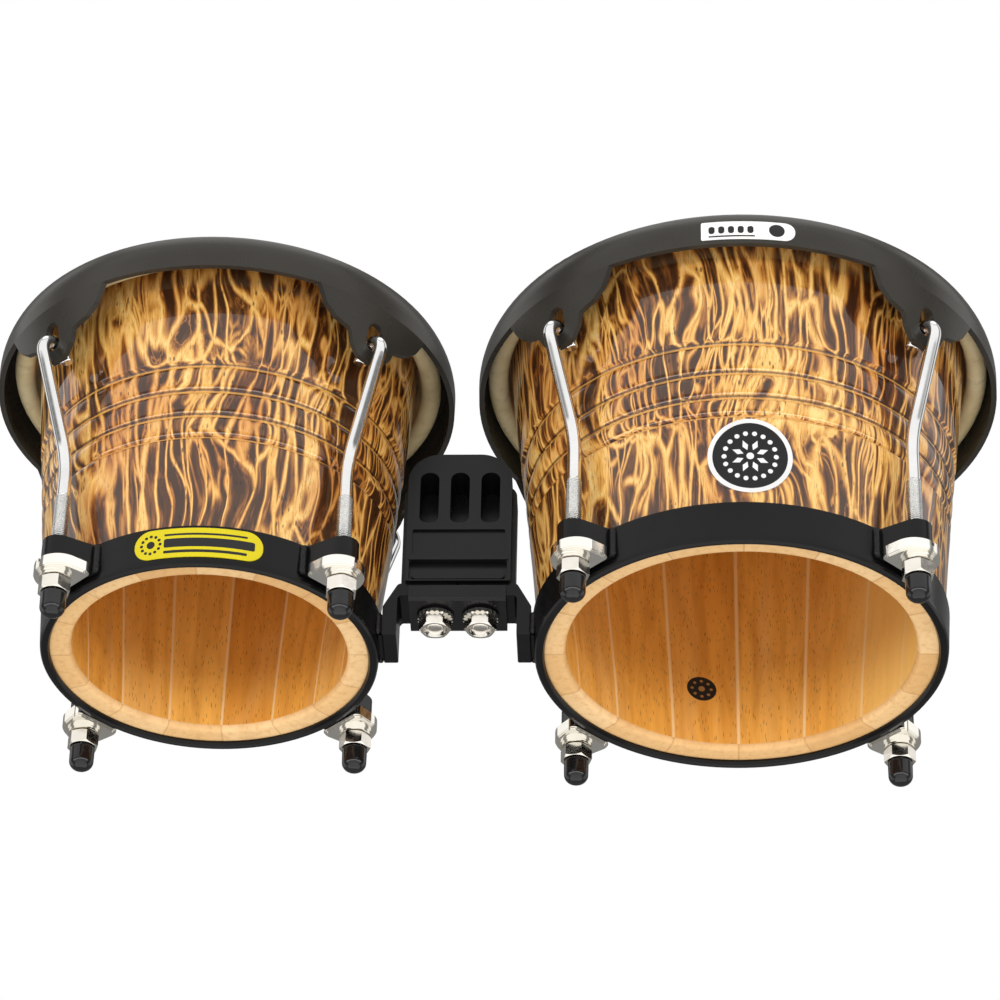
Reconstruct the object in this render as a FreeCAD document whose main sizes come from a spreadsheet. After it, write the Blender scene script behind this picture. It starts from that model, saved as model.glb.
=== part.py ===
import FreeCAD, Part
import math
import os
import Sketcher
from FreeCAD import Vector, Rotation, Placement

# Pair of bongo drums, heads up, standing on the rubber caps of the tuning rods.
# Millimetres, +Z up, players' side on -Y, small drum on -X, large drum on +X.

os.makedirs("parts", exist_ok=True)
doc = FreeCAD.newDocument("bongos")
sheet = doc.addObject("Spreadsheet::Sheet", "Sizes")
sheet.Label = "Sizes"

CELLS = [
    ("wood_z", 21.8), ("small_x", -128.5), ("large_x", 114.4), ("block_x", -15.2),
    ("small_turn", 45.65), ("large_turn", 45.44),
    # shells
    ("shell_h", 168.0), ("wall_bottom", 12.3), ("wall_top", 10.5),
    ("small_r_bottom", 75.3), ("small_r_top", 90.2),
    ("large_r_bottom", 92.1), ("large_r_top", 108.2),
    ("stave_count", 16), ("groove_half", 1.5), ("groove_depth", 1.7), ("bead_drop", 0.45),
    # bottom rings
    ("small_ring_r", 77.4), ("large_ring_r", 94.3), ("ring_top", 17.4),
    ("ring_drop", 2.6), ("ring_wall", 2.0), ("ring_flare", 0.9),
    # lugs
    ("small_rod_r", 90.3), ("large_rod_r", 107.1),
    ("strap_wall", 2.6), ("strap_nose", 7.2), ("strap_half", 11.2),
    ("strap_low", 1.0), ("strap_high", 17.0),
    ("plate_low", -1.1), ("plate_floor", 1.9), ("plate_lip", 4.9), ("plate_hole", 4.1),
    ("washer_r", 8.2), ("washer_small_r", 7.5), ("washer_small_t", 1.0), ("washer_hole", 3.9), ("washer_t", 2.0),
    ("nut_flats", 13.0), ("nut_h", 6.8), ("nut_bore", 3.55), ("nut_gap", 0.3),
    # rods and caps
    ("thread_r", 3.5), ("shank_r", 3.1), ("thread_top", 42.0),
    ("rod_end", -19.6), ("cap_r", 5.85), ("cap_top", -10.7), ("cap_round", 2.6),
    ("small_bend", 62.3), ("large_bend", 66.6), ("hook_bend", 6.6), ("hook_z", 117.2),
    # rims
    ("small_rim_r", 108.5), ("large_rim_r", 122.5), ("rim_edge_z", 141.3), ("rim_wall", 2.5),
    ("small_hoop_r", 97.0), ("large_hoop_r", 113.6), ("hoop_z", 155.3), ("bend_radius", 60.0), ("lip_reach", 6.6),
    ("wrap_r", 4.75), ("hoop_core", 3.0), ("skin", 1.3),
    ("ear_reach", 27.6), ("ear_slope", 0.2195), ("hole_half", 4.4),
    ("hole_low", 119.3), ("hole_high", 133.0),
    # brackets, clamp plate and block
    ("tab_t", 6.6), ("tab_deep", 23.2), ("leg_low", 3.3), ("tab_low", 25.0),
    ("leg_small_x", -45.9), ("leg_large_x", 15.5),
    ("clamp_wide", 44.6), ("clamp_deep", 27.0), ("clamp_low", 21.5), ("clamp_high", 31.6),
    ("block_wide", 48.4), ("block_deep", 27.0), ("block_low", 31.9), ("block_high", 103.5),
    ("bolt_half", 10.4), ("bolt_r", 4.0), ("bolt_flats", 13.0),
]
N = {}
for row, (alias, value) in enumerate(CELLS, start=1):
    sheet.set("A%d" % row, alias)
    sheet.set("B%d" % row, str(value))
    sheet.setAlias("B%d" % row, alias)
    N[alias] = float(value)
doc.recompute()


class E:
    """A number together with the spreadsheet expression that gives it."""

    def __init__(self, value, text):
        self.v, self.t = float(value), text

    @staticmethod
    def of(x):
        return x if isinstance(x, E) else E(x, "(%.6f)" % x)

    def __add__(self, o):
        o = E.of(o)
        return E(self.v + o.v, "(%s + %s)" % (self.t, o.t))

    def __radd__(self, o):
        return E.of(o) + self

    def __sub__(self, o):
        o = E.of(o)
        return E(self.v - o.v, "(%s - %s)" % (self.t, o.t))

    def __rsub__(self, o):
        return E.of(o) - self

    def __mul__(self, o):
        o = E.of(o)
        return E(self.v * o.v, "(%s * %s)" % (self.t, o.t))

    __rmul__ = __mul__

    def __truediv__(self, o):
        o = E.of(o)
        return E(self.v / o.v, "(%s / %s)" % (self.t, o.t))


def V(alias):
    return E(N[alias], "Sizes." + alias)


def num(x):
    return x.v if isinstance(x, E) else float(x)


ZB = V("wood_z")


def bind(obj, prop, x):
    """Sets a size and ties it to the sheet where it comes from there."""
    value = num(x)
    if "." in prop or prop.startswith("Constraints"):
        obj.setExpression(prop, E.of(x).t)
        return
    setattr(obj, prop, value)
    if isinstance(x, E):
        obj.setExpression(prop, x.t)


def put(obj, x=0, y=0, z=0, yaw=0):
    """Placement by position and turn about Z."""
    obj.Placement = Placement(Vector(num(x), num(y), num(z)), Rotation(Vector(0, 0, 1), num(yaw)))
    for axis, value in (("x", x), ("y", y), ("z", z)):
        if isinstance(value, E):
            obj.setExpression("Placement.Base." + axis, value.t)
    if isinstance(yaw, E):
        obj.setExpression("Placement.Rotation.Angle", yaw.t)
    return obj


def body(label):
    b = doc.addObject("PartDesign::Body", label)
    b.Label = label
    if hasattr(b, "AllowCompound"):
        b.AllowCompound = True
    return b


PLANES = {"XY": 3, "XZ": 4, "YZ": 5}


def sketch_on(b, plane, name, offset=0):
    s = b.newObject("Sketcher::SketchObject", name)
    s.AttachmentSupport = (b.Origin.OriginFeatures[PLANES[plane]], [""])
    s.MapMode = "FlatFace"
    s.AttachmentOffset = Placement(Vector(0, 0, num(offset)), Rotation())
    if isinstance(offset, E):
        s.setExpression("AttachmentOffset.Base.z", offset.t)
    return s


def polygon(s, points, pin=True, crowns=None):
    """Closed outline; each corner is pinned to its sheet values. Edges named in crowns are arcs through a point."""
    n = len(points)
    first = s.GeometryCount
    xy = [(num(p[0]), num(p[1])) for p in points]
    for i in range(n):
        a, c = Vector(*xy[i], 0), Vector(*xy[(i + 1) % n], 0)
        if crowns and i in crowns:
            s.addGeometry(Part.Arc(a, Vector(*crowns[i], 0), c), False)
        else:
            s.addGeometry(Part.LineSegment(a, c), False)
    for i in range(n):
        s.addConstraint(Sketcher.Constraint("Coincident", first + i, 2, first + (i + 1) % n, 1))
    if not pin:
        return
    for i, p in enumerate(points):
        for kind, value in (("DistanceX", p[0]), ("DistanceY", p[1])):
            if abs(num(value)) < 1e-9:
                index = s.addConstraint(Sketcher.Constraint("PointOnObject", first + i, 1, -2 if kind == "DistanceX" else -1))
                continue
            index = s.addConstraint(Sketcher.Constraint(kind, -1, 1, first + i, 1, num(value)))
            if isinstance(value, E):
                s.setExpression("Constraints[%d]" % index, value.t)
    for i in crowns or {}:
        arc = s.Geometry[first + i]
        s.addConstraint(Sketcher.Constraint("Radius", first + i, arc.Radius))


def rounded(s, points, closed=True):
    """Closed outline of straight edges with an arc at each corner (x, y, radius)."""
    n = len(points)
    pts = [(num(p[0]), num(p[1]), num(p[2]) if len(p) > 2 else 0.0) for p in points]
    cut = []
    for i in range(n):
        p0, p1, p2 = pts[i - 1], pts[i], pts[(i + 1) % n]
        a = Vector(p0[0] - p1[0], p0[1] - p1[1], 0)
        c = Vector(p2[0] - p1[0], p2[1] - p1[1], 0)
        la, lc = a.Length, c.Length
        a.normalize()
        c.normalize()
        r = p1[2]
        angle = a.getAngle(c)
        corner = Vector(p1[0], p1[1], 0)
        if r <= 0 or abs(angle - math.pi) < 1e-3:
            cut.append((corner, None, corner))
            continue
        t = min(r / math.tan(angle / 2), 0.48 * la, 0.48 * lc)
        r = t * math.tan(angle / 2)
        bis = a + c
        bis.normalize()
        centre = corner + bis * (r / math.sin(angle / 2))
        cut.append((corner + a * t, centre - bis * r, corner + c * t))
    geo = []
    for i in range(n):
        start, mid, end = cut[i]
        if mid is not None:
            geo.append(Part.Arc(start, mid, end))
        nxt = cut[(i + 1) % n][0]
        if (nxt - end).Length > 1e-6:
            geo.append(Part.LineSegment(end, nxt))
    for g in geo:
        s.addGeometry(g, False)


def circle(s, x, y, r):
    g = s.addGeometry(Part.Circle(Vector(num(x), num(y), 0), Vector(0, 0, 1), num(r)), False)
    index = s.addConstraint(Sketcher.Constraint("Radius", g, num(r)))
    if isinstance(r, E):
        s.setExpression("Constraints[%d]" % index, r.t)
    for kind, value in (("DistanceX", x), ("DistanceY", y)):
        if abs(num(value)) < 1e-9:
            s.addConstraint(Sketcher.Constraint("PointOnObject", g, 3, -2 if kind == "DistanceX" else -1))
            continue
        index = s.addConstraint(Sketcher.Constraint(kind, -1, 1, g, 3, num(value)))
        if isinstance(value, E):
            s.setExpression("Constraints[%d]" % index, value.t)


def pad(b, s, length, name, midplane=False, reverse=False):
    f = b.newObject("PartDesign::Pad", name)
    f.Profile = s
    bind(f, "Length", length)
    if midplane:
        if hasattr(f, "SideType"):
            f.SideType = "Symmetric"
        else:
            f.Midplane = True
    f.Reversed = reverse
    s.Visibility = False
    return f


def pocket(b, s, length, name, reverse=False, midplane=False):
    f = b.newObject("PartDesign::Pocket", name)
    f.Profile = s
    bind(f, "Length", length)
    f.Reversed = reverse
    if midplane:
        if hasattr(f, "SideType"):
            f.SideType = "Symmetric"
        else:
            f.Midplane = True
    return f


def revolve(b, s, name, angle=360.0):
    f = b.newObject("PartDesign::Revolution", name)
    f.Profile = s
    f.ReferenceAxis = (s, ["V_Axis"])
    f.Angle = angle
    return f


def groove(b, s, name):
    f = b.newObject("PartDesign::Groove", name)
    f.Profile = s
    f.ReferenceAxis = (s, ["V_Axis"])
    f.Angle = 360.0
    return f


def polar(b, features, name, count):
    f = b.newObject("PartDesign::PolarPattern", name)
    f.Originals = features
    f.Axis = (b.Origin.OriginFeatures[2], [""])
    f.Angle = 360.0
    f.Occurrences = count
    b.Tip = f
    return f


def fuse(label, parts):
    f = doc.addObject("Part::MultiFuse", label)
    f.Shapes = parts
    f.Label = label
    return f


def common(label, parts):
    f = doc.addObject("Part::MultiCommon", label)
    f.Shapes = parts
    f.Label = label
    return f


def cut(label, base, tool):
    f = doc.addObject("Part::Cut", label)
    f.Base = base
    f.Tool = tool
    f.Label = label
    return f


nodes = []


def node(obj):
    nodes.append(obj)
    return obj


# ---------------------------------------------------------------- one drum
def shell_outer(size, z):
    """Outer radius of the flared shell at a height above its bottom."""
    table = {
        "small": [(0, 75.3), (19, 76.5), (66, 82.0), (97, 84.8), (151, 89.3), (168, 90.2)],
        "large": [(0, 92.1), (25, 93.8), (50, 96.0), (92, 100.6), (151, 106.9), (168, 108.2)],
    }[size]
    for (z0, r0), (z1, r1) in zip(table, table[1:]):
        if z <= z1:
            return r0 + (r1 - r0) * (z - z0) / (z1 - z0)
    return table[-1][1]


GROOVES = {"small": (64.3, 75.8, 88.6, 102.3), "large": (63.3, 73.0, 85.7, 101.0)}


def staves(size, x):
    """Separate stave solids, glued edge to edge."""
    label = size + "_shell"
    step = 360.0 / N["stave_count"]
    b = body(size + "_stave")
    s = sketch_on(b, "XZ", size + "_stave_profile")
    bottom, top = V(size + "_r_bottom"), V(size + "_r_top")
    base = N[size + "_r_bottom"]
    out = [(bottom + 0, ZB + 0)]
    heights = {"small": (19, 66, 97, 151), "large": (25, 50, 92, 151)}[size]
    cuts = GROOVES[size]
    marks = sorted([(z, 0) for z in heights if not cuts[0] < z < cuts[-1]] + [(g, 1) for g in cuts])
    half, deep, drop = V("groove_half"), V("groove_depth"), V("bead_drop")
    crowns = {}
    for z, is_groove in marks:
        if is_groove:
            low = bottom + (shell_outer(size, z - N["groove_half"]) - base)
            high = bottom + (shell_outer(size, z + N["groove_half"]) - base)
            out.append((low if z == cuts[0] else low - drop, ZB + z - half))
            out.append((bottom + (shell_outer(size, z) - base) - deep, ZB + z))
            out.append((high if z == cuts[-1] else high - drop, ZB + z + half))
            if z != cuts[-1]:
                mid = (z + cuts[cuts.index(z) + 1]) / 2
                crowns[len(out) - 1] = (shell_outer(size, mid), N["wood_z"] + mid)
        else:
            out.append((bottom + (shell_outer(size, z) - base), ZB + z))
    h = V("shell_h")
    out += [
        (top - 0.25, ZB + h - 3.0), (top - 1.6, ZB + h - 0.6), (top - 3.4, ZB + h),
        (top - 4.6, ZB + h - 0.5), (top - V("wall_top"), ZB + h - 9.0),
        (bottom - V("wall_bottom") + 1.9, ZB + 24.0),
        (bottom - V("wall_bottom"), ZB + 1.8), (bottom - V("wall_bottom") + 1.4, ZB + 0),
    ]
    polygon(s, out, crowns=crowns)
    f = revolve(b, s, size + "_stave_turning", step)
    f.setExpression("Angle", "360 / Sizes.stave_count")
    doc.recompute()
    group = doc.addObject("Part::Compound", label)
    group.Label = label
    links = []
    for i in range(int(N["stave_count"])):
        link = doc.addObject("App::Link", "%s_stave_%d" % (size, i + 1))
        link.LinkedObject = b
        link.LinkTransform = False
        link.Placement = Placement(Vector(0, 0, 0), Rotation(Vector(0, 0, 1), step * i + step / 2))
        links.append(link)
    group.Links = links
    put(group, x=x)
    return node(group)


def bottom_ring(size, x):
    label = size + "_bottom_ring"
    b = body(label)
    s = sketch_on(b, "XZ", label + "_profile")
    r, drop, flare = V(size + "_ring_r"), V("ring_drop"), V("ring_flare")
    top = V("ring_top")
    base = shell_outer(size, 0)
    at_top = shell_outer(size, N["ring_top"])
    wood_top = V(size + "_r_bottom") + (at_top - base) + 0.05
    polygon(s, [
        (V(size + "_r_bottom") - 2.4, ZB - 0.1),
        (V(size + "_r_bottom") - 2.5, ZB - 1.2),
        (V(size + "_r_bottom") - 1.7, ZB - drop + 0.2),
        (V(size + "_r_bottom") - 0.4, ZB - drop),
        (r - 0.9, ZB - drop + 0.3),
        (r - 0.2, ZB - 1.3),
        (r + 0, ZB + 0.2),
        (r + flare, ZB + top - 0.5),
        (r + flare - 0.5, ZB + top),
        (wood_top + 0, ZB + top),
        (V(size + "_r_bottom") + 0.05, ZB - 0.05),
    ])
    revolve(b, s, label + "_rolled")
    put(b, x=x)
    return node(b)


def hull_outline(rr, nose, base_x, half):
    """Outline of a circle at rr pulled out to a base line: tangent lines and a nose arc."""
    dx, dy = rr - base_x, half
    d = math.hypot(dx, dy)
    # tangent from the base corner to the nose circle
    beta = math.atan2(-half, dx)
    off = math.asin(min(1.0, nose / d))
    ang = beta
    t = math.sqrt(max(d * d - nose * nose, 0))
    direction = ang + off
    tx = base_x + t * math.cos(direction)
    ty = half + t * math.sin(direction)
    # choose the tangent that passes outside the nose
    direction2 = ang - off
    tx2 = base_x + t * math.cos(direction2)
    ty2 = half + t * math.sin(direction2)
    if ty2 > ty:
        tx, ty = tx2, ty2
    return tx, ty


def nose_profile(s, rr, nose, base_x, half):
    tx, ty = hull_outline(rr, nose, base_x, half)
    a, c = Vector(base_x, half, 0), Vector(tx, ty, 0)
    d, e = Vector(tx, -ty, 0), Vector(base_x, -half, 0)
    s.addGeometry(Part.LineSegment(a, c), False)
    s.addGeometry(Part.Arc(c, Vector(rr + nose, 0, 0), d), False)
    s.addGeometry(Part.LineSegment(d, e), False)
    s.addGeometry(Part.LineSegment(e, a), False)


def lug_straps(size, x, turn):
    """Bent strip around each rod, both feet welded to the ring."""
    label = size + "_lug_straps"
    b = body(label)
    rr = N[size + "_rod_r"]
    ring = N[size + "_ring_r"]
    wall = N["strap_wall"]
    s = sketch_on(b, "XY", label + "_outside", ZB + V("strap_low"))
    nose_profile(s, rr, N["strap_nose"], ring - 2.0, N["strap_half"])
    p = pad(b, s, V("strap_high") - V("strap_low"), label + "_block")
    s2 = sketch_on(b, "XY", label + "_inside", ZB + V("strap_low") - 1.0)
    nose_profile(s2, rr, N["strap_nose"] - wall, ring - 8.0, N["strap_half"] - wall + 1.4)
    q = pocket(b, s2, V("strap_high") - V("strap_low") + 2.0, label + "_hollow", reverse=True)
    w = sketch_on(b, "XY", label + "_weld", ZB + V("strap_low"))
    for sign in (1, -1):
        yy = sign * (N["strap_half"] + 0.2)
        circle(w, math.sqrt((ring + 0.7) ** 2 - yy * yy), yy, 1.7)
    wp = pad(b, w, V("strap_high") - V("strap_low") - 0.6, label + "_bead")
    c = sketch_on(b, "XY", label + "_ring_side", ZB + V("strap_low") - 1.0)
    circle(c, 0, 0, V(size + "_ring_r") + V("ring_flare") * 0.55 + 0.1)
    k = pocket(b, c, V("strap_high") - V("strap_low") + 2.0, label + "_trim", reverse=True)
    polar(b, [p, q, wp, k], label + "_four", 4)
    put(b, x=x, yaw=turn)
    return node(b)


def lug_plates(size, x, turn):
    """Plated caps under the straps, with a lip around the nose."""
    label = size + "_lug_plates"
    b = body(label)
    rr = N[size + "_rod_r"]
    ring = N[size + "_ring_r"]
    s = sketch_on(b, "XY", label + "_outline", ZB + V("plate_low"))
    nose_x, nose_r = rr - 2.1, 11.5

    def outline(sk, base_x, half, r, corner):
        """Base line, two flanks and a round nose about nose_x."""
        tx, ty = hull_outline(nose_x, r, base_x, half)
        turn_to = math.atan2(ty, tx - nose_x)
        pts = [(base_x, half, corner)]
        reach = r / math.cos(turn_to / 3)
        for f in (2 / 3.0, 0.0, -2 / 3.0):
            pts.append((nose_x + reach * math.cos(turn_to * f), reach * math.sin(turn_to * f), r))
        pts.append((base_x, -half, corner))
        rounded(sk, pts)

    edge = 1.4
    outline(s, ring + 2.2 + edge, 12.6 - edge * 0.55, nose_r - edge * 0.62, 2.4)
    foot = pad(b, s, 0.55, label + "_foot")
    s1 = sketch_on(b, "XY", label + "_shoulder", ZB + V("plate_low") + 0.5)
    outline(s1, ring + 2.2 + 0.6, 12.6 - 0.3, nose_r - 0.3, 2.8)
    shoulder = pad(b, s1, 0.65, label + "_rounding")
    s11 = sketch_on(b, "XY", label + "_rim_outline", ZB + V("plate_low") + 1.1)
    outline(s11, ring + 2.2, 12.6, nose_r, 3.0)
    p = pad(b, s11, V("plate_lip") - V("plate_low") - 1.1, label + "_blank")
    s2 = sketch_on(b, "XY", label + "_tray", ZB + V("plate_low") + V("plate_floor"))
    wall = 1.15
    outline(s2, ring - 0.6, 12.6 - wall, nose_r - wall, 0.0)
    q = pocket(b, s2, 8.0, label + "_recess", reverse=True)
    s3 = sketch_on(b, "XY", label + "_hole", ZB + V("plate_low") - 1.0)
    circle(s3, V(size + "_rod_r"), 0, V("plate_hole"))
    h = pocket(b, s3, 6.0, label + "_bore", reverse=True)
    s4 = sketch_on(b, "XY", label + "_notch", ZB + 2.6)
    polygon(s4, [(rr + 7.6, 0.9), (rr + 11.0, 0.9), (rr + 11.0, -0.9), (rr + 7.6, -0.9)], pin=False)
    m = pocket(b, s4, 4.0, label + "_slot", reverse=True)
    polar(b, [foot, shoulder, p, q, h, m], label + "_four", 4)
    put(b, x=x, yaw=turn)
    return node(b)


def washers(size, x, turn):
    label = size + "_washers"
    b = body(label)
    s = sketch_on(b, "XY", label + "_outline", ZB + V("plate_low") - V("washer_t") + V("washer_small_t"))
    circle(s, V(size + "_rod_r"), 0, V("washer_r"))
    circle(s, V(size + "_rod_r"), 0, V("washer_hole"))
    p = pad(b, s, V("washer_t") - V("washer_small_t"), label + "_disc")
    s2 = sketch_on(b, "XY", label + "_lower_outline", ZB + V("plate_low") - V("washer_t"))
    circle(s2, V(size + "_rod_r"), 0, V("washer_small_r"))
    circle(s2, V(size + "_rod_r"), 0, V("washer_hole"))
    q = pad(b, s2, V("washer_small_t"), label + "_lower_disc")
    polar(b, [p, q], label + "_four", 4)
    put(b, x=x, yaw=turn)
    return node(b)


def nut(label, x, y, turn):
    """Hexagon nut with chamfered corners, bored to run on the rod's thread."""
    b = body(label)
    s = sketch_on(b, "XY", label + "_hexagon")
    r = N["nut_flats"] / math.sqrt(3)
    pts = [(r * math.cos(math.radians(60 * i)), r * math.sin(math.radians(60 * i))) for i in range(6)]
    polygon(s, pts, pin=False)
    pad(b, s, V("nut_h"), label + "_blank")
    c = sketch_on(b, "XZ", label + "_chamfer")
    h = V("nut_h")
    polygon(c, [(6.3, h), (9.0, h), (9.0, h - 1.6)], pin=True)
    polygon(c, [(6.3, -0.001), (9.0, 1.6), (9.0, -0.001)], pin=False)
    groove(b, c, label + "_corners")
    c2 = sketch_on(b, "XY", label + "_hole", 0)
    circle(c2, 0, 0, V("nut_bore"))
    pocket(b, c2, V("nut_h") + 2.0, label + "_bore", reverse=True)
    put(b, x=x, y=y, z=ZB + V("plate_low") - V("washer_t") - V("nut_gap") - V("nut_h"), yaw=turn)
    return node(b)


def lean_of(size):
    """Lean of the rod's upper leg so that it meets the hook's bend tangentially."""
    rr, zb = N[size + "_rod_r"], N[size + "_bend"]
    cr, cz, k = hook_centre(size)
    t = 0.3
    for _ in range(60):
        t = math.atan2(cr + k * math.cos(t) - rr, cz - k * math.sin(t) - zb)
    return t


def hook_centre(size):
    outer = N[size + "_rim_r"] - N["ear_slope"] * (N["rim_edge_z"] - N["hook_z"])
    return outer - 0.3, N["hook_z"], N["hook_bend"]


def rods(size, x, turn):
    """Tuning rods: threaded straight end, leaning shank, hook over the ear."""
    label = size + "_tuning_rods"
    b = body(label)
    rr, zb = N[size + "_rod_r"], N[size + "_bend"]
    cr, cz, k = hook_centre(size)
    t = lean_of(size)
    z0 = N["wood_z"]
    out = Vector(math.cos(t), -math.sin(t), 0)
    along = Vector(math.sin(t), math.cos(t), 0)
    centre = Vector(cr, cz + z0, 0)
    leg_end = centre + out * k
    top = centre + along * k
    inner = centre - out * k
    tip = inner - along * 3.2
    path = sketch_on(b, "XZ", label + "_path")
    bend_r = N["bend_radius"]
    low = Vector(rr, N["thread_top"] - 2.0 + z0, 0)
    corner = Vector(rr, zb + z0, 0)
    d = bend_r * math.tan(t / 2)
    b0 = corner - Vector(0, d, 0)
    b1 = corner + along * d
    cc = Vector(rr + bend_r, zb + z0 - d, 0)
    bm = cc + Vector(-math.cos(t / 2), math.sin(t / 2), 0) * bend_r
    path.addGeometry(Part.LineSegment(low, b0), False)
    path.addGeometry(Part.Arc(b0, bm, b1), False)
    path.addGeometry(Part.LineSegment(b1, leg_end), False)
    path.addGeometry(Part.Arc(leg_end, top, inner), False)
    path.addGeometry(Part.LineSegment(inner, tip), False)
    ring = sketch_on(b, "XY", label + "_section", ZB + V("thread_top") - 2.0)
    circle(ring, V(size + "_rod_r"), 0, V("shank_r"))
    f = b.newObject("PartDesign::AdditivePipe", label + "_shank")
    f.Profile = ring
    f.Spine = (path, [])
    th = sketch_on(b, "XY", label + "_thread_section", ZB + V("rod_end"))
    circle(th, V(size + "_rod_r"), 0, V("thread_r"))
    p = pad(b, th, V("thread_top") - V("rod_end"), label + "_thread")
    polar(b, [f, p], label + "_four", 4)
    put(b, x=x, yaw=turn)
    return node(b)


def caps(size, x, turn):
    """Rubber caps pushed on the rod ends; the drums stand on them."""
    label = size + "_rod_caps"
    b = body(label)
    rr, z0 = N[size + "_rod_r"], N["wood_z"]
    r, k, bore = N["cap_r"], N["cap_round"], N["thread_r"]
    top, end = z0 + N["cap_top"], z0 + N["rod_end"]
    s = sketch_on(b, "XZ", label + "_section")
    rounded(s, [
        (rr, 0, 0), (rr + r - 0.15, 0, k), (rr + r, top - 0.6, 0.4), (rr + r - 0.5, top, 0.3),
        (rr + bore, top, 0), (rr + bore, end, 0), (rr, end, 0),
    ])
    axis = s.addGeometry(Part.LineSegment(Vector(rr, -5, 0), Vector(rr, 40, 0)), True)
    f = b.newObject("PartDesign::Revolution", label + "_moulded")
    f.Profile = s
    f.ReferenceAxis = (s, ["Axis0"])
    f.Angle = 360.0
    polar(b, [f], label + "_four", 4)
    put(b, x=x, yaw=turn)
    return node(b)


EAR = [(33.5, 144.0, 0), (32.6, 141.6, 2.5), (27.4, 132.6, 3.5), (21.6, 128.0, 4.0), (13.4, 125.2, 3.0), (11.4, 119.6, 3.5), (6.8, 114.2, 3.0), (0.0, 113.4, 4.0)]


def rim(size, x, turn):
    """Rounded counter hoop with four stepped ears for the rod hooks."""
    label = size + "_rim"
    re, rh = V(size + "_rim_r"), V(size + "_hoop_r")
    z0 = N["wood_z"]
    band = body(size + "_rim_band")
    s = sketch_on(band, "XZ", size + "_rim_profile")
    e, h, za = num(re), num(rh), N["rim_edge_z"] + z0

    def P(r, z):
        return Vector(r, z, 0)

    w = N["rim_wall"]
    A, B = P(e, za), P(e + 0.2, z0 + 148.0)
    D, F = P(e - 2.4, z0 + 159.3), P(e - 6.6, z0 + 162.5)
    h = max(h, N[size + "_r_top"] + N["lip_reach"])
    G, H = P(h - 0.4, z0 + 163.1), P(h - 2.9, z0 + 162.8)
    I, J, K = P(h - 3.7, z0 + 161.8), P(h - 3.0, z0 + 160.7), P(min(h + 0.6, e - 7.5), z0 + 160.45)
    L, M, O = P(e - 7.2, z0 + 159.9), P(e - 4.6, z0 + 157.6), P(e - w + 0.2, z0 + 148.0)
    Q = P(e - w, za)
    geo = [
        Part.LineSegment(A, B),
        Part.Arc(B, P(e - 0.45, z0 + 154.4), D),
        Part.Arc(D, P(e - 4.2, z0 + 161.4), F),
        Part.LineSegment(F, G),
        Part.LineSegment(G, H),
        Part.Arc(H, P(h - 3.6, z0 + 162.4), I),
        Part.Arc(I, P(h - 3.6, z0 + 161.0), J),
        Part.LineSegment(J, K),
        Part.LineSegment(K, L),
        Part.Arc(L, P(e - 5.7, z0 + 159.1), M),
        Part.Arc(M, P(e - 2.9, z0 + 153.4), O),
        Part.LineSegment(O, Q),
        Part.LineSegment(Q, A),
    ]
    for g in geo:
        s.addGeometry(g, False)
    revolve(band, s, size + "_rim_turned")
    skirt = body(size + "_rim_skirt")
    s2 = sketch_on(skirt, "XZ", size + "_skirt_profile")
    slope = N["ear_slope"]
    z_low = za - N["ear_reach"] - 2.0
    r_low = e - slope * (za - z_low)
    polygon(s2, [(r_low, z_low), (e, za), (e, za + 1.4), (e - w, za + 1.4), (e - w, za), (r_low - w, z_low)], pin=False)
    revolve(skirt, s2, size + "_skirt_turned")
    ears = body(size + "_rim_ears")
    s3 = sketch_on(ears, "YZ", size + "_ear_outline", re - 20.0)
    right = [(p[0], p[1] + z0, p[2]) for p in EAR]
    left = [(-p[0], p[1] + z0, p[2]) for p in EAR[:-1]]
    rounded(s3, right + left[::-1])
    p1 = pad(ears, s3, 32.0, size + "_ear_blank")
    s4 = sketch_on(ears, "YZ", size + "_ear_hole", re - 22.0)
    hh = N["hole_half"]
    lo, hi = N["hole_low"] + z0, N["hole_high"] + z0
    rounded(s4, [(hh, lo, hh * 0.98), (hh, hi, hh * 0.98), (-hh, hi, hh * 0.98), (-hh, lo, hh * 0.98)])
    p2 = pocket(ears, s4, 40.0, size + "_ear_slot", reverse=True)
    polar(ears, [p1, p2], size + "_ears_four", 4)
    put(ears, yaw=turn)
    four = common(size + "_rim_ear_plates", [skirt, ears])
    whole = fuse(label, [band, four])
    put(whole, x=x)
    return node(whole)


def torus_ring(label, x, r, z, outer, inner=None):
    b = body(label)
    s = sketch_on(b, "XZ", label + "_section")
    circle(s, r, z, outer)
    if inner is not None:
        circle(s, r, z, inner)
    revolve(b, s, label + "_ring")
    put(b, x=x)
    return node(b)


def head(size, x):
    """Skin stretched over the bearing edge: flat field with a turned-down edge."""
    label = size + "_head"
    b = body(label)
    s = sketch_on(b, "XZ", label + "_section")
    top, h, t = N[size + "_r_top"], N["shell_h"] + N["wood_z"], N["skin"]
    pts = [
        (0, h + 0.1, 0), (top - 2.0, h + 0.1, 1.6), (top + 0.35, h - 2.0, 1.0), (top + 0.35, h - 3.0, 0),
        (top + 0.35 + t, h - 3.0, 0), (top + 0.35 + t, h - 1.2, 2.0), (top - 1.0, h + 0.1 + t, 2.4), (0, h + 0.1 + t, 0),
    ]
    rounded(s, pts)
    revolve(b, s, label + "_disc")
    put(b, x=x)
    return node(b)


def head_collar(size, x):
    """Skin between the bearing edge and the hoop; it stretches as the drum is tuned."""
    label = size + "_head_collar"
    b = body(label)
    s = sketch_on(b, "XZ", label + "_section")
    top, t = V(size + "_r_top"), V("skin")
    z1 = ZB + V("shell_h") - 3.05
    z0 = ZB + V("hoop_z") + 3.2
    polygon(s, [(top + 0.35, z0), (top + 0.35 + t, z0), (top + 0.35 + t, z1), (top + 0.35, z1)])
    revolve(b, s, label + "_sleeve")
    put(b, x=x)
    return node(b)


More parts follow.
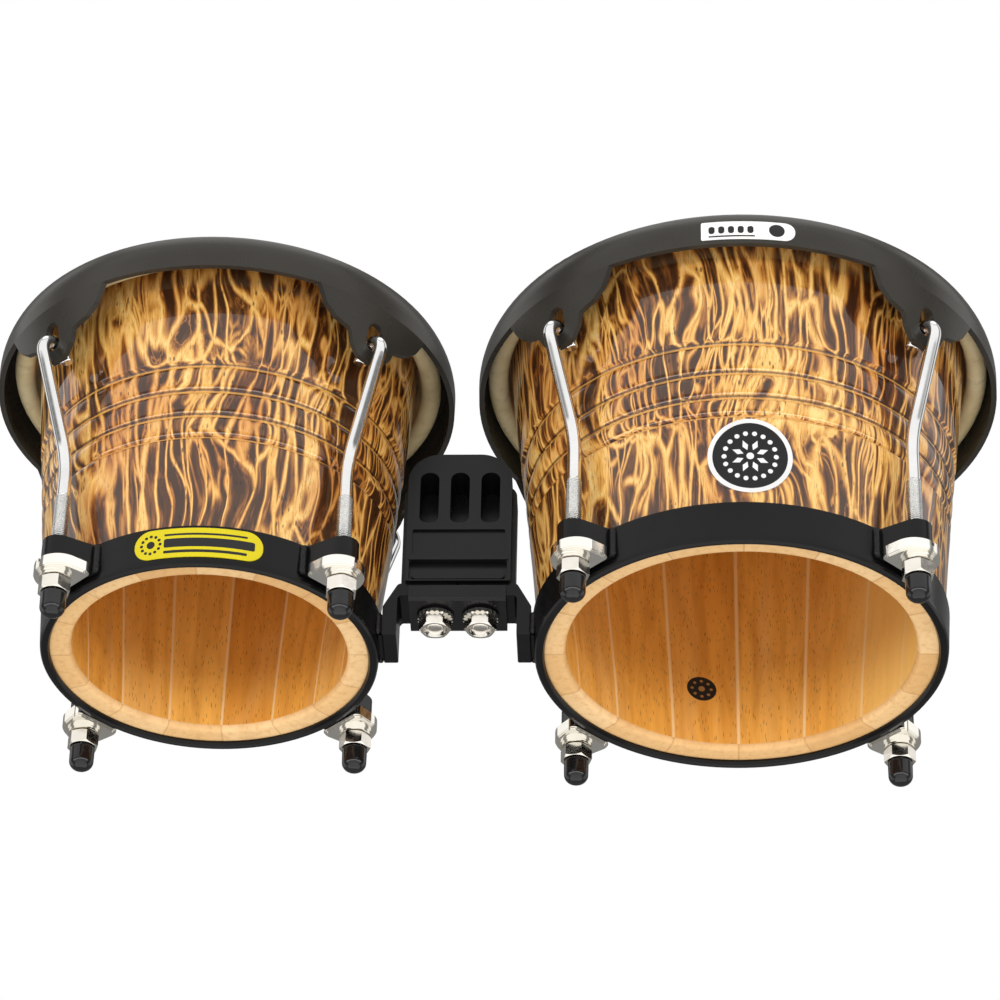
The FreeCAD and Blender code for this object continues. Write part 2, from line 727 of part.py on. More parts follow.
def bracket(size, x_leg, inward):
    """Flat bar bent from the ring up into the clamp, with its weld."""
    label = size + "_bracket"
    b = body(label)
    s = sketch_on(b, "XZ", label + "_side")
    z0 = N["wood_z"]
    t = N["tab_t"]
    a = N[x_leg]
    o, i = a - inward * t / 2, a + inward * t / 2
    centre = N["block_x"] - inward * 0.5
    top = N["tab_low"] + t + z0
    low = N["leg_low"] + z0
    pts = [
        (o, low, 0.8), (o, z0 + 18.9, 2.0), (o + inward * 6.8, top, 2.5), (centre, top, 0.3),
        (centre, top - t, 0.3), (i + inward * 1.2, top - t, 1.0), (i, top - t - 1.6, 1.0), (i, low, 0.8),
    ]
    rounded(s, pts)
    pad(b, s, V("tab_deep"), label + "_bar", midplane=True)
    h = sketch_on(b, "XY", label + "_hole", ZB + V("tab_low") - 2.0)
    circle(h, V("block_x") - inward * V("bolt_half"), 0, 4.4)
    pocket(b, h, 12.0, label + "_bore", reverse=True)
    ring_edge = N[size + "_x"] + inward * (N[size + "_ring_r"] + 0.45)
    w = sketch_on(b, "XY", label + "_weld_plan", ZB + V("leg_low") + 1.0)
    x0, x1 = sorted([o + inward * 0.6, ring_edge - inward * 0.35])
    polygon(w, [(x0, -9.6), (x1, -9.6), (x1, 9.6), (x0, 9.6)], pin=False)
    pad(b, w, 11.0, label + "_weld")
    return node(b)


# ---------------------------------------------------------------- both drums
for size, x_alias, turn_alias in (("small", "small_x", "small_turn"), ("large", "large_x", "large_turn")):
    X, T = V(x_alias), V(turn_alias)
    staves(size, X)
    bottom_ring(size, X)
    lug_straps(size, X, T)
    lug_plates(size, X, T)
    washers(size, X, T)
    for i in range(4):
        ang = math.radians(num(T) + 90 * i)
        rr = V(size + "_rod_r")
        nut("%s_nut_%d" % (size, i + 1), X + rr * math.cos(ang), rr * math.sin(ang), num(T) + 90 * i + (12, 34, 5, 22)[i])
    rods(size, X, T)
    caps(size, X, T)
    rim(size, X, T)
    torus_ring(size + "_flesh_hoop", X, V(size + "_hoop_r"), ZB + V("hoop_z"), V("hoop_core"))
    torus_ring(size + "_head_wrap", X, V(size + "_hoop_r"), ZB + V("hoop_z"), V("wrap_r"), V("hoop_core") + 0.05)
    head(size, X)
    head_collar(size, X)

bracket("small", "leg_small_x", 1.0)
bracket("large", "leg_large_x", -1.0)

# ---------------------------------------------------------------- centre block
BX = V("block_x")
z0 = N["wood_z"]
bx = N["block_x"]
half = N["block_wide"] / 2
deep = N["block_deep"] / 2

block = body("centre_block")
s = sketch_on(block, "XZ", "block_front")
lo, hi = N["block_low"] + z0, N["block_high"] + z0
rounded(s, [(bx - half, lo, 1.2), (bx - half, hi, 15.0), (bx + half, hi, 15.0), (bx + half, lo, 1.2)])
pad(block, s, V("block_deep"), "block_body", midplane=True)
s = sketch_on(block, "XZ", "block_flange")
rounded(s, [(bx - 26.3, lo + 1.5, 1.0), (bx - 26.3, hi - 13.0, 6.0), (bx + 26.3, hi - 13.0, 6.0), (bx + 26.3, lo + 1.5, 1.0)])
pad(block, s, 12.0, "block_sides", midplane=True)
# stepped lower front: recessed name field without lettering, ledge, and a rounded bar in a recess
s = sketch_on(block, "XZ", "block_windows", V("block_deep") / 2 + 0.5)
for k in (-1, 0, 1):
    cx = bx + k * 14.2
    rounded(s, [(cx - 4.4, z0 + 64.5, 3.4), (cx - 4.4, z0 + 93.0, 4.2), (cx + 4.4, z0 + 93.0, 4.2), (cx + 4.4, z0 + 64.5, 3.4)])
pocket(block, s, 18.0, "block_slots")
s = sketch_on(block, "XZ", "block_field", V("block_deep") / 2 + 0.5)
rounded(s, [(bx - 21.4, z0 + 47.0, 0.8), (bx - 21.4, z0 + 60.6, 0.8), (bx + 21.4, z0 + 60.6, 0.8), (bx + 21.4, z0 + 47.0, 0.8)])
pocket(block, s, 1.9, "block_panel")
s = sketch_on(block, "XZ", "block_lower", V("block_deep") / 2 + 0.5)
rounded(s, [(bx - 22.6, z0 + 32.6, 0.8), (bx - 22.6, z0 + 43.0, 1.2), (bx + 22.6, z0 + 43.0, 1.2), (bx + 22.6, z0 + 32.6, 0.8)])
pocket(block, s, 3.2, "block_recess")
s = sketch_on(block, "XZ", "block_bar", V("block_deep") / 2 - 2.8)
rounded(s, [(bx - 21.4, z0 + 33.6, 2.2), (bx - 21.4, z0 + 38.6, 2.2), (bx + 21.4, z0 + 38.6, 2.2), (bx + 21.4, z0 + 33.6, 2.2)])
pad(block, s, 1.9, "block_bead")
s = sketch_on(block, "XZ", "block_ledge", V("block_deep") / 2 - 0.05)
rounded(s, [(bx - 23.0, z0 + 43.2, 0.6), (bx - 23.0, z0 + 45.4, 0.6), (bx + 23.0, z0 + 45.4, 0.6), (bx + 23.0, z0 + 43.2, 0.6)])
pad(block, s, 0.75, "block_ridge")
# blind sockets for the threaded inserts, open underneath
s = sketch_on(block, "XY", "block_sockets", ZB + V("block_low") - 1.0)
for sign in (-1, 1):
    circle(s, BX + sign * V("bolt_half"), 0, 6.0)
pocket(block, s, 17.0, "block_insert_holes", reverse=True)
node(block)

inserts = body("threaded_inserts")
s = sketch_on(inserts, "XY", "insert_plan", ZB + V("block_low") + 0.2)
for sign in (-1, 1):
    circle(s, BX + sign * V("bolt_half"), 0, 5.95)
    circle(s, BX + sign * V("bolt_half"), 0, 4.02)
pad(inserts, s, 15.0, "insert_sleeves")
node(inserts)

clamp = body("clamp_plate")
s = sketch_on(clamp, "YZ", "clamp_section", BX - V("clamp_wide") / 2)
cl, ch = N["clamp_low"] + z0, N["clamp_high"] + z0
lipz = ch - 1.9
td = N["tab_deep"] / 2 + 0.3
rounded(s, [
    (-deep, cl, 1.4), (-deep, lipz, 1.3), (-td, lipz, 0.2), (-td, N["tab_low"] + z0 - 0.05, 0.2),
    (td, N["tab_low"] + z0 - 0.05, 0.2), (td, lipz, 0.2), (deep, lipz, 1.3), (deep, cl, 1.4),
])
pad(clamp, s, V("clamp_wide"), "clamp_channel")
s = sketch_on(clamp, "XY", "clamp_hole_plan", ZB + V("clamp_low") - 1.0)
for sign in (-1, 1):
    circle(s, BX + sign * V("bolt_half"), 0, 4.4)
pocket(clamp, s, 8.0, "clamp_holes", reverse=True)
node(clamp)

flat = body("clamp_flat_washers")
s = sketch_on(flat, "XY", "flat_plan", ZB + V("clamp_low") - 1.2)
for sign in (-1, 1):
    circle(s, BX + sign * V("bolt_half"), 0, 8.6)
    circle(s, BX + sign * V("bolt_half"), 0, 4.2)
pad(flat, s, 1.2, "flat_discs")
node(flat)

lock = body("clamp_lock_washers")
s = sketch_on(lock, "XY", "lock_plan", ZB + V("clamp_low") - 2.6)
for sign in (-1, 1):
    cx = bx + sign * N["bolt_half"]
    teeth = 20
    pts = []
    for k in range(teeth):
        a0 = 2 * math.pi * k / teeth
        for da, r in ((0.0, 7.2), (0.10, 8.2), (0.21, 8.2)):
            pts.append((cx + r * math.cos(a0 + da), r * math.sin(a0 + da)))
    polygon(s, pts, pin=False)
    circle(s, BX + sign * V("bolt_half"), 0, 4.2)
pad(lock, s, 1.4, "lock_discs")
node(lock)

bolts = body("clamp_bolts")
head_top = ZB + V("clamp_low") - 2.6
s = sketch_on(bolts, "XY", "bolt_heads_plan", head_top - 5.6)
hr = N["bolt_flats"] / math.sqrt(3)
for sign, turn in ((-1, 0.0), (1, 0.0)):
    cx = bx + sign * N["bolt_half"]
    polygon(s, [(cx + hr * math.cos(math.radians(60 * k + turn)), hr * math.sin(math.radians(60 * k + turn))) for k in range(6)], pin=False)
pad(bolts, s, 5.6, "bolt_heads")
s = sketch_on(bolts, "XY", "bolt_shank_plan", head_top - 1.0)
for sign in (-1, 1):
    circle(s, BX + sign * V("bolt_half"), 0, V("bolt_r"))
pad(bolts, s, 1.0 + 2.6 + 10.4 + 12.0, "bolt_shanks")
s = sketch_on(bolts, "XY", "bolt_socket_plan", head_top - 6.0)
for sign in (-1, 1):
    cx = bx + sign * N["bolt_half"]
    polygon(s, [(cx + 3.5 * math.cos(math.radians(60 * k + 30)), 3.5 * math.sin(math.radians(60 * k + 30))) for k in range(6)], pin=False)
pocket(bolts, s, 2.6, "bolt_sockets", reverse=True)
node(bolts)


# ---------------------------------------------------------------- badge and labels
def patch(label, x, profile, outline, azimuth, reach, near):
    """Thin piece of a turned layer, trimmed to an outline that looks along the radius."""
    layer = body(label + "_layer")
    s = sketch_on(layer, "XZ", label + "_layer_profile")
    polygon(s, profile, pin=False)
    revolve(layer, s, label + "_layer_turned")
    tool = body(label + "_outline")
    s = sketch_on(tool, "YZ", label + "_outline_plan", near)
    outline(s)
    pad(tool, s, reach, label + "_outline_block")
    put(tool, yaw=azimuth)
    c = common(label, [layer, tool])
    put(c, x=x)
    return node(c)


def wall(size, z, gap):
    return shell_outer(size, z) + gap


zc = z0 + 41.3
prof = lambda g0, g1: [
    (wall("large", 20, g0), z0 + 20), (wall("large", 20, g1), z0 + 20), (wall("large", 25, g1), z0 + 25),
    (wall("large", 50, g1), z0 + 50), (wall("large", 62, g1), z0 + 62), (wall("large", 62, g0), z0 + 62),
    (wall("large", 50, g0), z0 + 50), (wall("large", 25, g0), z0 + 25),
]
patch("large_badge_disc", V("large_x"), prof(0.06, 0.95), lambda s: circle(s, 0, zc, 16.7), -88.1, 40.0, 70.0)


def badge_ring(s):
    circle(s, 0, zc, 18.9)
    circle(s, 0, zc, 16.75)


patch("large_badge_ring", V("large_x"), prof(0.06, 1.35), badge_ring, -88.1, 40.0, 70.0)

rr0 = N["small_ring_r"]
fl = N["ring_flare"] / (N["ring_top"] - 0.7)
ring_at = lambda z, g: rr0 + fl * (z - 0.2) + g
patch(
    "small_ring_label", V("small_x"),
    [(ring_at(0.3, 0.06), z0 + 0.3), (ring_at(0.3, 0.4), z0 + 0.3), (ring_at(16.2, 0.4), z0 + 16.2), (ring_at(16.2, 0.06), z0 + 16.2)],
    lambda s: rounded(s, [(-28.6, z0 + 0.6, 7.3), (-28.6, z0 + 15.6, 7.3), (28.6, z0 + 15.6, 7.3), (28.6, z0 + 0.6, 7.3)]),
    -89.0, 60.0, 40.0,
)
re = N["large_rim_r"]
patch(
    "large_rim_label", V("large_x"),
    [(re + 0.145, z0 + 142.8), (re + 0.222, z0 + 145.4), (re + 0.300, z0 + 148.0), (re + 0.322, z0 + 149.6), (re + 0.222, z0 + 151.2), (re + -0.000, z0 + 152.8), (re + -0.350, z0 + 154.4),
     (re + -0.070, z0 + 154.4), (re + 0.280, z0 + 152.8), (re + 0.502, z0 + 151.2), (re + 0.602, z0 + 149.6), (re + 0.580, z0 + 148.0), (re + 0.502, z0 + 145.4), (re + 0.425, z0 + 142.8)],
    lambda s: rounded(s, [(-21.3, z0 + 143.4, 0.8), (-21.3, z0 + 153.9, 0.8), (21.3, z0 + 153.9, 5.0), (21.3, z0 + 143.4, 5.0)]),
    -88.4, 40.0, 100.0,
)

doc.recompute()

bad = []
for obj in doc.Objects:
    if any(k in obj.State for k in ("Invalid", "Error")):
        bad.append("%s: %s" % (obj.Name, obj.State))
for obj in nodes:
    shape = obj.Shape
    if shape.isNull() or not shape.isValid() or not shape.Solids:
        bad.append("%s: bad shape" % obj.Label)
if bad:
    raise RuntimeError("; ".join(bad))
for obj in nodes:
    obj.Shape.exportStep("parts/%s.step" % obj.Label)
    print("%-24s solids %2d  volume %10.1f  z %.2f..%.2f" % (obj.Label, len(obj.Shape.Solids), obj.Shape.Volume, obj.Shape.BoundBox.ZMin, obj.Shape.BoundBox.ZMax))
box = None
for obj in nodes:
    box = obj.Shape.BoundBox if box is None else box.united(obj.Shape.BoundBox)
print("overall %.2f x %.2f x %.2f  centre %.2f %.2f" % (box.XLength, box.YLength, box.ZLength, box.Center.x, box.Center.y))
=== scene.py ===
import math

import bpy
import numpy as np
from mathutils import Matrix, Vector


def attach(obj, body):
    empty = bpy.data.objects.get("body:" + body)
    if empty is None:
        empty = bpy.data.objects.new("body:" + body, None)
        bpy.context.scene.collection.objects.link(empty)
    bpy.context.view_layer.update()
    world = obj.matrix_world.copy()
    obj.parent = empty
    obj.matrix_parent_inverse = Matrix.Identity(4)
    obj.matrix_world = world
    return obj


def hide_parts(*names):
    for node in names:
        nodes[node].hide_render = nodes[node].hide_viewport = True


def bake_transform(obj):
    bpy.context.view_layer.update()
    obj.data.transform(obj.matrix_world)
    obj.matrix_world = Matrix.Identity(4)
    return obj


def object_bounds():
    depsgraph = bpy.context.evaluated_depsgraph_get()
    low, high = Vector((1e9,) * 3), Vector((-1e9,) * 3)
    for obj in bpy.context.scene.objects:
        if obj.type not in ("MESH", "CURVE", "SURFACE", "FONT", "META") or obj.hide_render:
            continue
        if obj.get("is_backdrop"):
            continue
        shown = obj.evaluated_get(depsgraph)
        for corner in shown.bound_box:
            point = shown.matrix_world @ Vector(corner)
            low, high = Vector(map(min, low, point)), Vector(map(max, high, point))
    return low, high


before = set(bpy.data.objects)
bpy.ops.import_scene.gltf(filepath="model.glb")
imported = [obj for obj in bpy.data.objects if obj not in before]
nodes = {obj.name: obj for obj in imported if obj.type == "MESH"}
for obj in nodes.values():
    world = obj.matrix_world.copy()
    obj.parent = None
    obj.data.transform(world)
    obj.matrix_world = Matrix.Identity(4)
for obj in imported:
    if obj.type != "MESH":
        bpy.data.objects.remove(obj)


def flat_box(b):
    out = []
    for item in b:
        try:
            out.append([float(v) for v in item])
        except TypeError:
            out.append(float(item))
    return out


CAD_BOX = flat_box(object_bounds())

MM = 0.001
ZB = 21.8
DRUMS = {
    "small": dict(x=-128.5, turn=45.65, rod=90.3, bend=62.3, rim=108.5, hoop=97.0, ring=77.4,
                  outer=[(0, 75.3), (19, 76.5), (66, 82.0), (97, 84.8), (151, 89.3), (168, 90.2)],
                  grooves=(64.3, 75.8, 88.6, 102.3), seed=3),
    "large": dict(x=114.4, turn=45.44, rod=107.1, bend=66.6, rim=122.5, hoop=113.6, ring=94.3,
                  outer=[(0, 92.1), (25, 93.8), (50, 96.0), (92, 100.6), (151, 106.9), (168, 108.2)],
                  grooves=(63.3, 73.0, 85.7, 101.0), seed=8),
}
ROOT = "drum_frame"


# ------------------------------------------------------------------ node material helpers
class Mat:
    """A small builder for node materials."""

    def __init__(self, name):
        self.m = bpy.data.materials.new(name)
        self.m.use_nodes = True
        self.t = self.m.node_tree
        self.t.nodes.clear()
        self.out = self.n("ShaderNodeOutputMaterial")
        self.bsdf = self.n("ShaderNodeBsdfPrincipled")
        self.link(self.bsdf.outputs[0], self.out.inputs["Surface"])

    def n(self, kind, **kw):
        node = self.t.nodes.new(kind)
        for k, v in kw.items():
            setattr(node, k, v)
        return node

    def link(self, a, b):
        self.t.links.new(a, b)

    def set(self, **kw):
        for k, v in kw.items():
            name = k.replace("_", " ").title()
            for cand in (name, name.replace("Ior", "IOR")):
                if cand in self.bsdf.inputs:
                    self.bsdf.inputs[cand].default_value = v
                    break
            else:
                raise KeyError(k)
        return self

    def coord(self, scale=(1, 1, 1), loc=(0, 0, 0)):
        tc = self.n("ShaderNodeTexCoord")
        mp = self.n("ShaderNodeMapping")
        mp.inputs["Scale"].default_value = scale
        mp.inputs["Location"].default_value = loc
        self.link(tc.outputs["Object"], mp.inputs["Vector"])
        return mp.outputs["Vector"]

    def noise(self, vec, scale=5.0, detail=4.0, rough=0.5, distort=0.0, out="Fac"):
        nd = self.n("ShaderNodeTexNoise")
        nd.inputs["Scale"].default_value = scale
        nd.inputs["Detail"].default_value = detail
        nd.inputs["Roughness"].default_value = rough
        nd.inputs["Distortion"].default_value = distort
        self.link(vec, nd.inputs["Vector"])
        return nd.outputs[out]

    def voronoi(self, vec, scale=1.0, feature="F1", out="Distance", randomness=1.0):
        nd = self.n("ShaderNodeTexVoronoi", feature=feature)
        nd.inputs["Scale"].default_value = scale
        nd.inputs["Randomness"].default_value = randomness
        self.link(vec, nd.inputs["Vector"])
        return nd.outputs[out]

    def val(self, x):
        return x

    def math(self, op, a, b=None, c=None, clamp=False):
        nd = self.n("ShaderNodeMath", operation=op)
        nd.use_clamp = clamp
        for i, v in enumerate((a, b, c)):
            if v is None:
                continue
            if isinstance(v, (int, float)):
                nd.inputs[i].default_value = v
            else:
                self.link(v, nd.inputs[i])
        return nd.outputs[0]

    def vmath(self, op, a, b=None):
        nd = self.n("ShaderNodeVectorMath", operation=op)
        for i, v in enumerate((a, b)):
            if v is None:
                continue
            if isinstance(v, (tuple, list)):
                nd.inputs[i].default_value = v
            elif isinstance(v, (int, float)) and op == "SCALE" and i == 1:
                nd.inputs["Scale"].default_value = v
            else:
                self.link(v, nd.inputs[i])
        return nd.outputs[0]

    def ramp(self, fac, stops, interp="LINEAR"):
        nd = self.n("ShaderNodeValToRGB")
        cr = nd.color_ramp
        cr.interpolation = interp
        while len(cr.elements) > 1:
            cr.elements.remove(cr.elements[-1])
        for i, (p, c) in enumerate(stops):
            e = cr.elements[0] if i == 0 else cr.elements.new(p)
            e.position = p
            if isinstance(c, (int, float)):
                c = (c, c, c)
            e.color = (*c[:3], 1.0)
        self.link(fac, nd.inputs[0])
        return nd.outputs[0]

    def smooth(self, x, lo, hi, a=0.0, b=1.0):
        nd = self.n("ShaderNodeMapRange", interpolation_type="SMOOTHSTEP")
        for k, v in (("From Min", lo), ("From Max", hi), ("To Min", a), ("To Max", b)):
            if isinstance(v, (int, float)):
                nd.inputs[k].default_value = v
            else:
                self.link(v, nd.inputs[k])
        self.link(x, nd.inputs["Value"])
        return nd.outputs[0]

    def mix(self, fac, a, b, blend="MIX"):
        nd = self.n("ShaderNodeMix", data_type="RGBA", blend_type=blend)
        for sock, v in ((nd.inputs[0], fac), (nd.inputs[6], a), (nd.inputs[7], b)):
            if isinstance(v, (int, float)):
                sock.default_value = v
            elif isinstance(v, (tuple, list)):
                sock.default_value = (*v[:3], 1.0)
            else:
                self.link(v, sock)
        return nd.outputs[2]

    def color(self, c):
        if isinstance(c, (tuple, list)):
            self.bsdf.inputs["Base Color"].default_value = (*c[:3], 1)
        else:
            self.link(c, self.bsdf.inputs["Base Color"])
        return self

    def rough(self, r):
        if isinstance(r, (int, float)):
            self.bsdf.inputs["Roughness"].default_value = r
        else:
            self.link(r, self.bsdf.inputs["Roughness"])
        return self

    def bump(self, height, strength=0.3, distance=0.0005, coat=False):
        nd = self.n("ShaderNodeBump")
        nd.inputs["Strength"].default_value = strength
        nd.inputs["Distance"].default_value = distance
        self.link(height, nd.inputs["Height"])
        self.link(nd.outputs[0], self.bsdf.inputs["Normal"])
        if coat:
            self.link(nd.outputs[0], self.bsdf.inputs["Coat Normal"])
        return self


def flame_lacquer(name, offset, grooves=()):
    """High-gloss lacquer over a torched figure: upright brown flames divided by flowing amber veins."""
    k = Mat(name)
    base = k.coord(loc=offset)

    def centred(v):
        return k.vmath("SUBTRACT", v, (0.5, 0.5, 0.5))

    sway = centred(k.noise(k.vmath("MULTIPLY", base, (17, 17, 9)), 1.0, 2.0, 0.5, 0.0, "Color"))
    ripple = centred(k.noise(k.vmath("MULTIPLY", base, (75, 75, 22)), 1.0, 2.0, 0.5, 0.0, "Color"))
    q = k.vmath("ADD", base, k.vmath("MULTIPLY", sway, (0.050, 0.050, 0.02)))
    q = k.vmath("ADD", q, k.vmath("MULTIPLY", ripple, (0.0060, 0.0060, 0.01)))
    cover = k.noise(k.vmath("MULTIPLY", base, (24, 24, 9)), 1.0, 2.0, 0.5)
    # wide flames
    cell = k.vmath("MULTIPLY", q, (136, 136, 12.6))
    edge = k.voronoi(cell, 1.0, "DISTANCE_TO_EDGE")
    sep = k.n("ShaderNodeSeparateColor")
    k.link(k.voronoi(cell, 1.0, "F1", "Color"), sep.inputs[0])
    wide = k.smooth(cover, 0.30, 0.68, 0.10, 0.34)
    vein = k.math("SUBTRACT", 1.0, k.smooth(edge, 0.0, wide))
    # narrow flames inside the wide ones
    cell2 = k.vmath("ADD", k.vmath("MULTIPLY", q, (250, 250, 24)), (3.1, 7.7, 1.3))
    edge2 = k.voronoi(cell2, 1.0, "DISTANCE_TO_EDGE")
    vein2 = k.math("SUBTRACT", 1.0, k.smooth(edge2, 0.0, 0.25))
    where2 = k.smooth(k.noise(k.vmath("MULTIPLY", base, (52, 52, 15)), 1.0, 2.0), 0.42, 0.60, 0.0, 0.92)
    vein2 = k.math("MULTIPLY", vein2, where2)
    # long single licks
    lick = k.noise(k.vmath("MULTIPLY", q, (150, 150, 8.5)), 1.0, 3.0, 0.55, 0.25)
    lick = k.math("ABSOLUTE", k.math("SUBTRACT", lick, 0.5))
    lick = k.math("SUBTRACT", 1.0, k.smooth(lick, 0.0, 0.05))
    lick = k.math("MULTIPLY", lick, k.smooth(cover, 0.40, 0.62, 0.10, 0.6))
    level = k.math("MAXIMUM", k.math("MAXIMUM", vein, vein2), lick)
    # the stain runs a little: soft amber beside the veins, streaked along the grain
    run = k.noise(k.vmath("MULTIPLY", q, (340, 340, 14)), 1.0, 3.0, 0.6)
    halo = k.math("MULTIPLY", k.math("SUBTRACT", 1.0, k.smooth(edge, 0.0, 0.5)), k.smooth(run, 0.42, 0.66, 0.0, 0.62))
    level = k.math("MAXIMUM", level, halo)
    hair = k.noise(k.vmath("MULTIPLY", q, (820, 820, 26)), 1.0, 2.0, 0.6)
    level = k.math("ADD", level, k.math("MULTIPLY", k.math("SUBTRACT", run, 0.5), 0.66), clamp=True)
    level = k.math("ADD", level, k.math("MULTIPLY", k.math("SUBTRACT", hair, 0.5), 0.46), clamp=True)
    level = k.math("SUBTRACT", level, k.math("MULTIPLY", sep.outputs[1], 0.10), clamp=True)
    col = k.ramp(level, [
        (0.00, (0.047, 0.0170, 0.0048)), (0.16, (0.094, 0.0330, 0.0078)), (0.34, (0.190, 0.0680, 0.0140)),
        (0.52, (0.380, 0.1500, 0.0280)), (0.70, (0.620, 0.3000, 0.0620)), (0.88, (0.820, 0.4600, 0.1200)), (1.00, (0.920, 0.6200, 0.2200)),
    ])
    heat = k.noise(k.vmath("MULTIPLY", base, (38, 38, 14)), 1.0, 3.0)
    col = k.mix(k.smooth(heat, 0.46, 0.7, 0.0, 0.55), col, (0.60, 0.27, 0.05), "MULTIPLY")
    # dark specks and open pores
    speck = k.voronoi(k.vmath("MULTIPLY", base, (430, 430, 150)), 1.0, "F1")
    mask = k.math("MULTIPLY", k.math("SUBTRACT", 1.0, k.smooth(speck, 0.16, 0.26)), k.smooth(k.noise(k.vmath("MULTIPLY", base, (85, 85, 40)), 1.0, 2.0), 0.54, 0.64, 0.0, 1.0))
    col = k.mix(k.math("MULTIPLY", mask, 0.72), col, (0.008, 0.0028, 0.001))
    pores = k.noise(k.vmath("MULTIPLY", base, (1300, 1300, 110)), 1.0, 2.0, 0.7)
    col = k.mix(k.smooth(pores, 0.54, 0.72, 0.0, 0.5), col, (0.045, 0.017, 0.006))
    # the cuts show paler wood on their floors; painted shade darkens a band under each bead, just above the cut
    tc = k.n("ShaderNodeTexCoord")
    sx = k.n("ShaderNodeSeparateXYZ")
    k.link(tc.outputs["Object"], sx.inputs[0])
    z = sx.outputs[2]
    patchy = k.smooth(k.noise(k.vmath("MULTIPLY", base, (70, 70, 70)), 1.0, 3.0), 0.3, 0.7, 0.55, 0.95)
    for i, g in enumerate(grooves):
        lo, hi = (g - 0.95 + ZB) * MM, (g + 0.45 + ZB) * MM
        pale = k.math("MULTIPLY", k.smooth(z, lo - 0.0002, lo + 0.0002), k.math("SUBTRACT", 1.0, k.smooth(z, hi - 0.0002, hi + 0.0002)))
        col = k.mix(k.math("MULTIPLY", pale, patchy), col, (0.66, 0.320, 0.060))
        if i:
            # painted shade: a dark band on the underside of the bead above this cut
            lo, hi = (g + 0.55 + ZB) * MM, (g + 1.25 + ZB) * MM
            bead_underside_shade = k.math("MULTIPLY", k.smooth(z, lo - 0.00015, lo + 0.00015), k.math("SUBTRACT", 1.0, k.smooth(z, hi - 0.0003, hi + 0.0003)))
            col = k.mix(k.math("MULTIPLY", bead_underside_shade, 0.72), col, (0.030, 0.0100, 0.003))
    # painted shade: darker towards the top edge, where the rim shades the shell
    col = k.mix(k.smooth(z, 0.150, 0.186, 0.0, 0.85), col, (0.62, 0.50, 0.38), "MULTIPLY")
    k.color(col)
    k.rough(k.smooth(run, 0.3, 0.7, 0.5, 0.62))
    k.set(specular_ior_level=0.12, coat_weight=1.0, coat_roughness=0.02, coat_ior=1.55)
    nd = k.n("ShaderNodeBump")
    nd.inputs["Strength"].default_value = 0.16
    nd.inputs["Distance"].default_value = 0.0006
    k.link(k.noise(k.vmath("MULTIPLY", base, (30, 30, 10)), 1.0, 3.0, 0.5), nd.inputs["Height"])
    k.link(nd.outputs[0], k.bsdf.inputs["Coat Normal"])
    k.bump(run, 0.1, 0.0002)
    return k.m


def stave_fraction(k, count, phase):
    """Angle around the drum as a stave number and a position across the stave."""
    tc = k.n("ShaderNodeTexCoord")
    sx = k.n("ShaderNodeSeparateXYZ")
    k.link(tc.outputs["Object"], sx.inputs[0])
    ang = k.math("ARCTAN2", sx.outputs[1], sx.outputs[0])
    f = k.math("ADD", k.math("MULTIPLY", ang, count / (2 * math.pi)), count + phase)
    idx = k.math("FLOOR", f)
    idx = k.math("MODULO", idx, float(count))
    frac = k.math("FRACT", f)
    return idx, frac, sx.outputs[2]


def inner_wood(name, phase, seed, pale=0.0):
    """Oiled open-pored wood inside, one tone per stave, pale glue lines."""
    k = Mat(name)
    base = k.coord(loc=(seed * 0.37, seed * 0.11, 0))
    idx, frac, z = stave_fraction(k, 16, phase)
    wn = k.n("ShaderNodeTexWhiteNoise", noise_dimensions="1D")
    k.link(k.math("ADD", idx, seed * 1.7), wn.inputs["W"])
    comb = k.n("ShaderNodeCombineXYZ")
    k.link(k.math("MULTIPLY", idx, 0.31), comb.inputs[2])
    shifted = k.vmath("ADD", base, comb.outputs[0])
    grain = k.noise(k.vmath("MULTIPLY", shifted, (170, 170, 7)), 1.0, 5.0, 0.6, 0.6)
    cath = k.noise(k.vmath("MULTIPLY", shifted, (42, 42, 4)), 1.0, 2.0, 0.5, 1.2)
    pores = k.voronoi(k.vmath("MULTIPLY", shifted, (1100, 1100, 95)), 1.0, "F1")
    pore = k.math("MULTIPLY", k.math("SUBTRACT", 1.0, k.smooth(pores, 0.10, 0.26)), 0.62)
    tone = k.ramp(wn.outputs[0], [(0.0, (0.72, 0.300, 0.044)), (0.5, (0.88, 0.415, 0.070)), (1.0, (0.97, 0.520, 0.110))])
    col = k.mix(k.smooth(grain, 0.3, 0.75, 0.0, 0.55), tone, (0.50, 0.185, 0.026))
    col = k.mix(k.smooth(cath, 0.45, 0.8, 0.0, 0.4), col, (0.86, 0.54, 0.21))
    col = k.mix(pore, col, (0.11, 0.036, 0.009))
    if pale:
        # painted light: the inside is made paler towards +X, standing in for the light that falls on that side
        sx = k.n("ShaderNodeSeparateXYZ")
        k.link(k.n("ShaderNodeTexCoord").outputs["Object"], sx.inputs[0])
        col = k.mix(k.smooth(sx.outputs[0], 0.034, 0.080, 0.0, pale), col, (1.0, 0.64, 0.19))
    seam = k.math("MINIMUM", frac, k.math("SUBTRACT", 1.0, frac))
    line = k.math("SUBTRACT", 1.0, k.smooth(seam, 0.012, 0.032))
    col = k.mix(k.math("MULTIPLY", line, 0.85), col, (0.93, 0.66, 0.33))
    k.color(col)
    k.rough(k.smooth(grain, 0.2, 0.8, 0.42, 0.6))
    k.set(specular_ior_level=0.2)
    k.bump(k.math("SUBTRACT", grain, k.math("MULTIPLY", pore, 1.2)), 0.35, 0.0003)
    return k.m


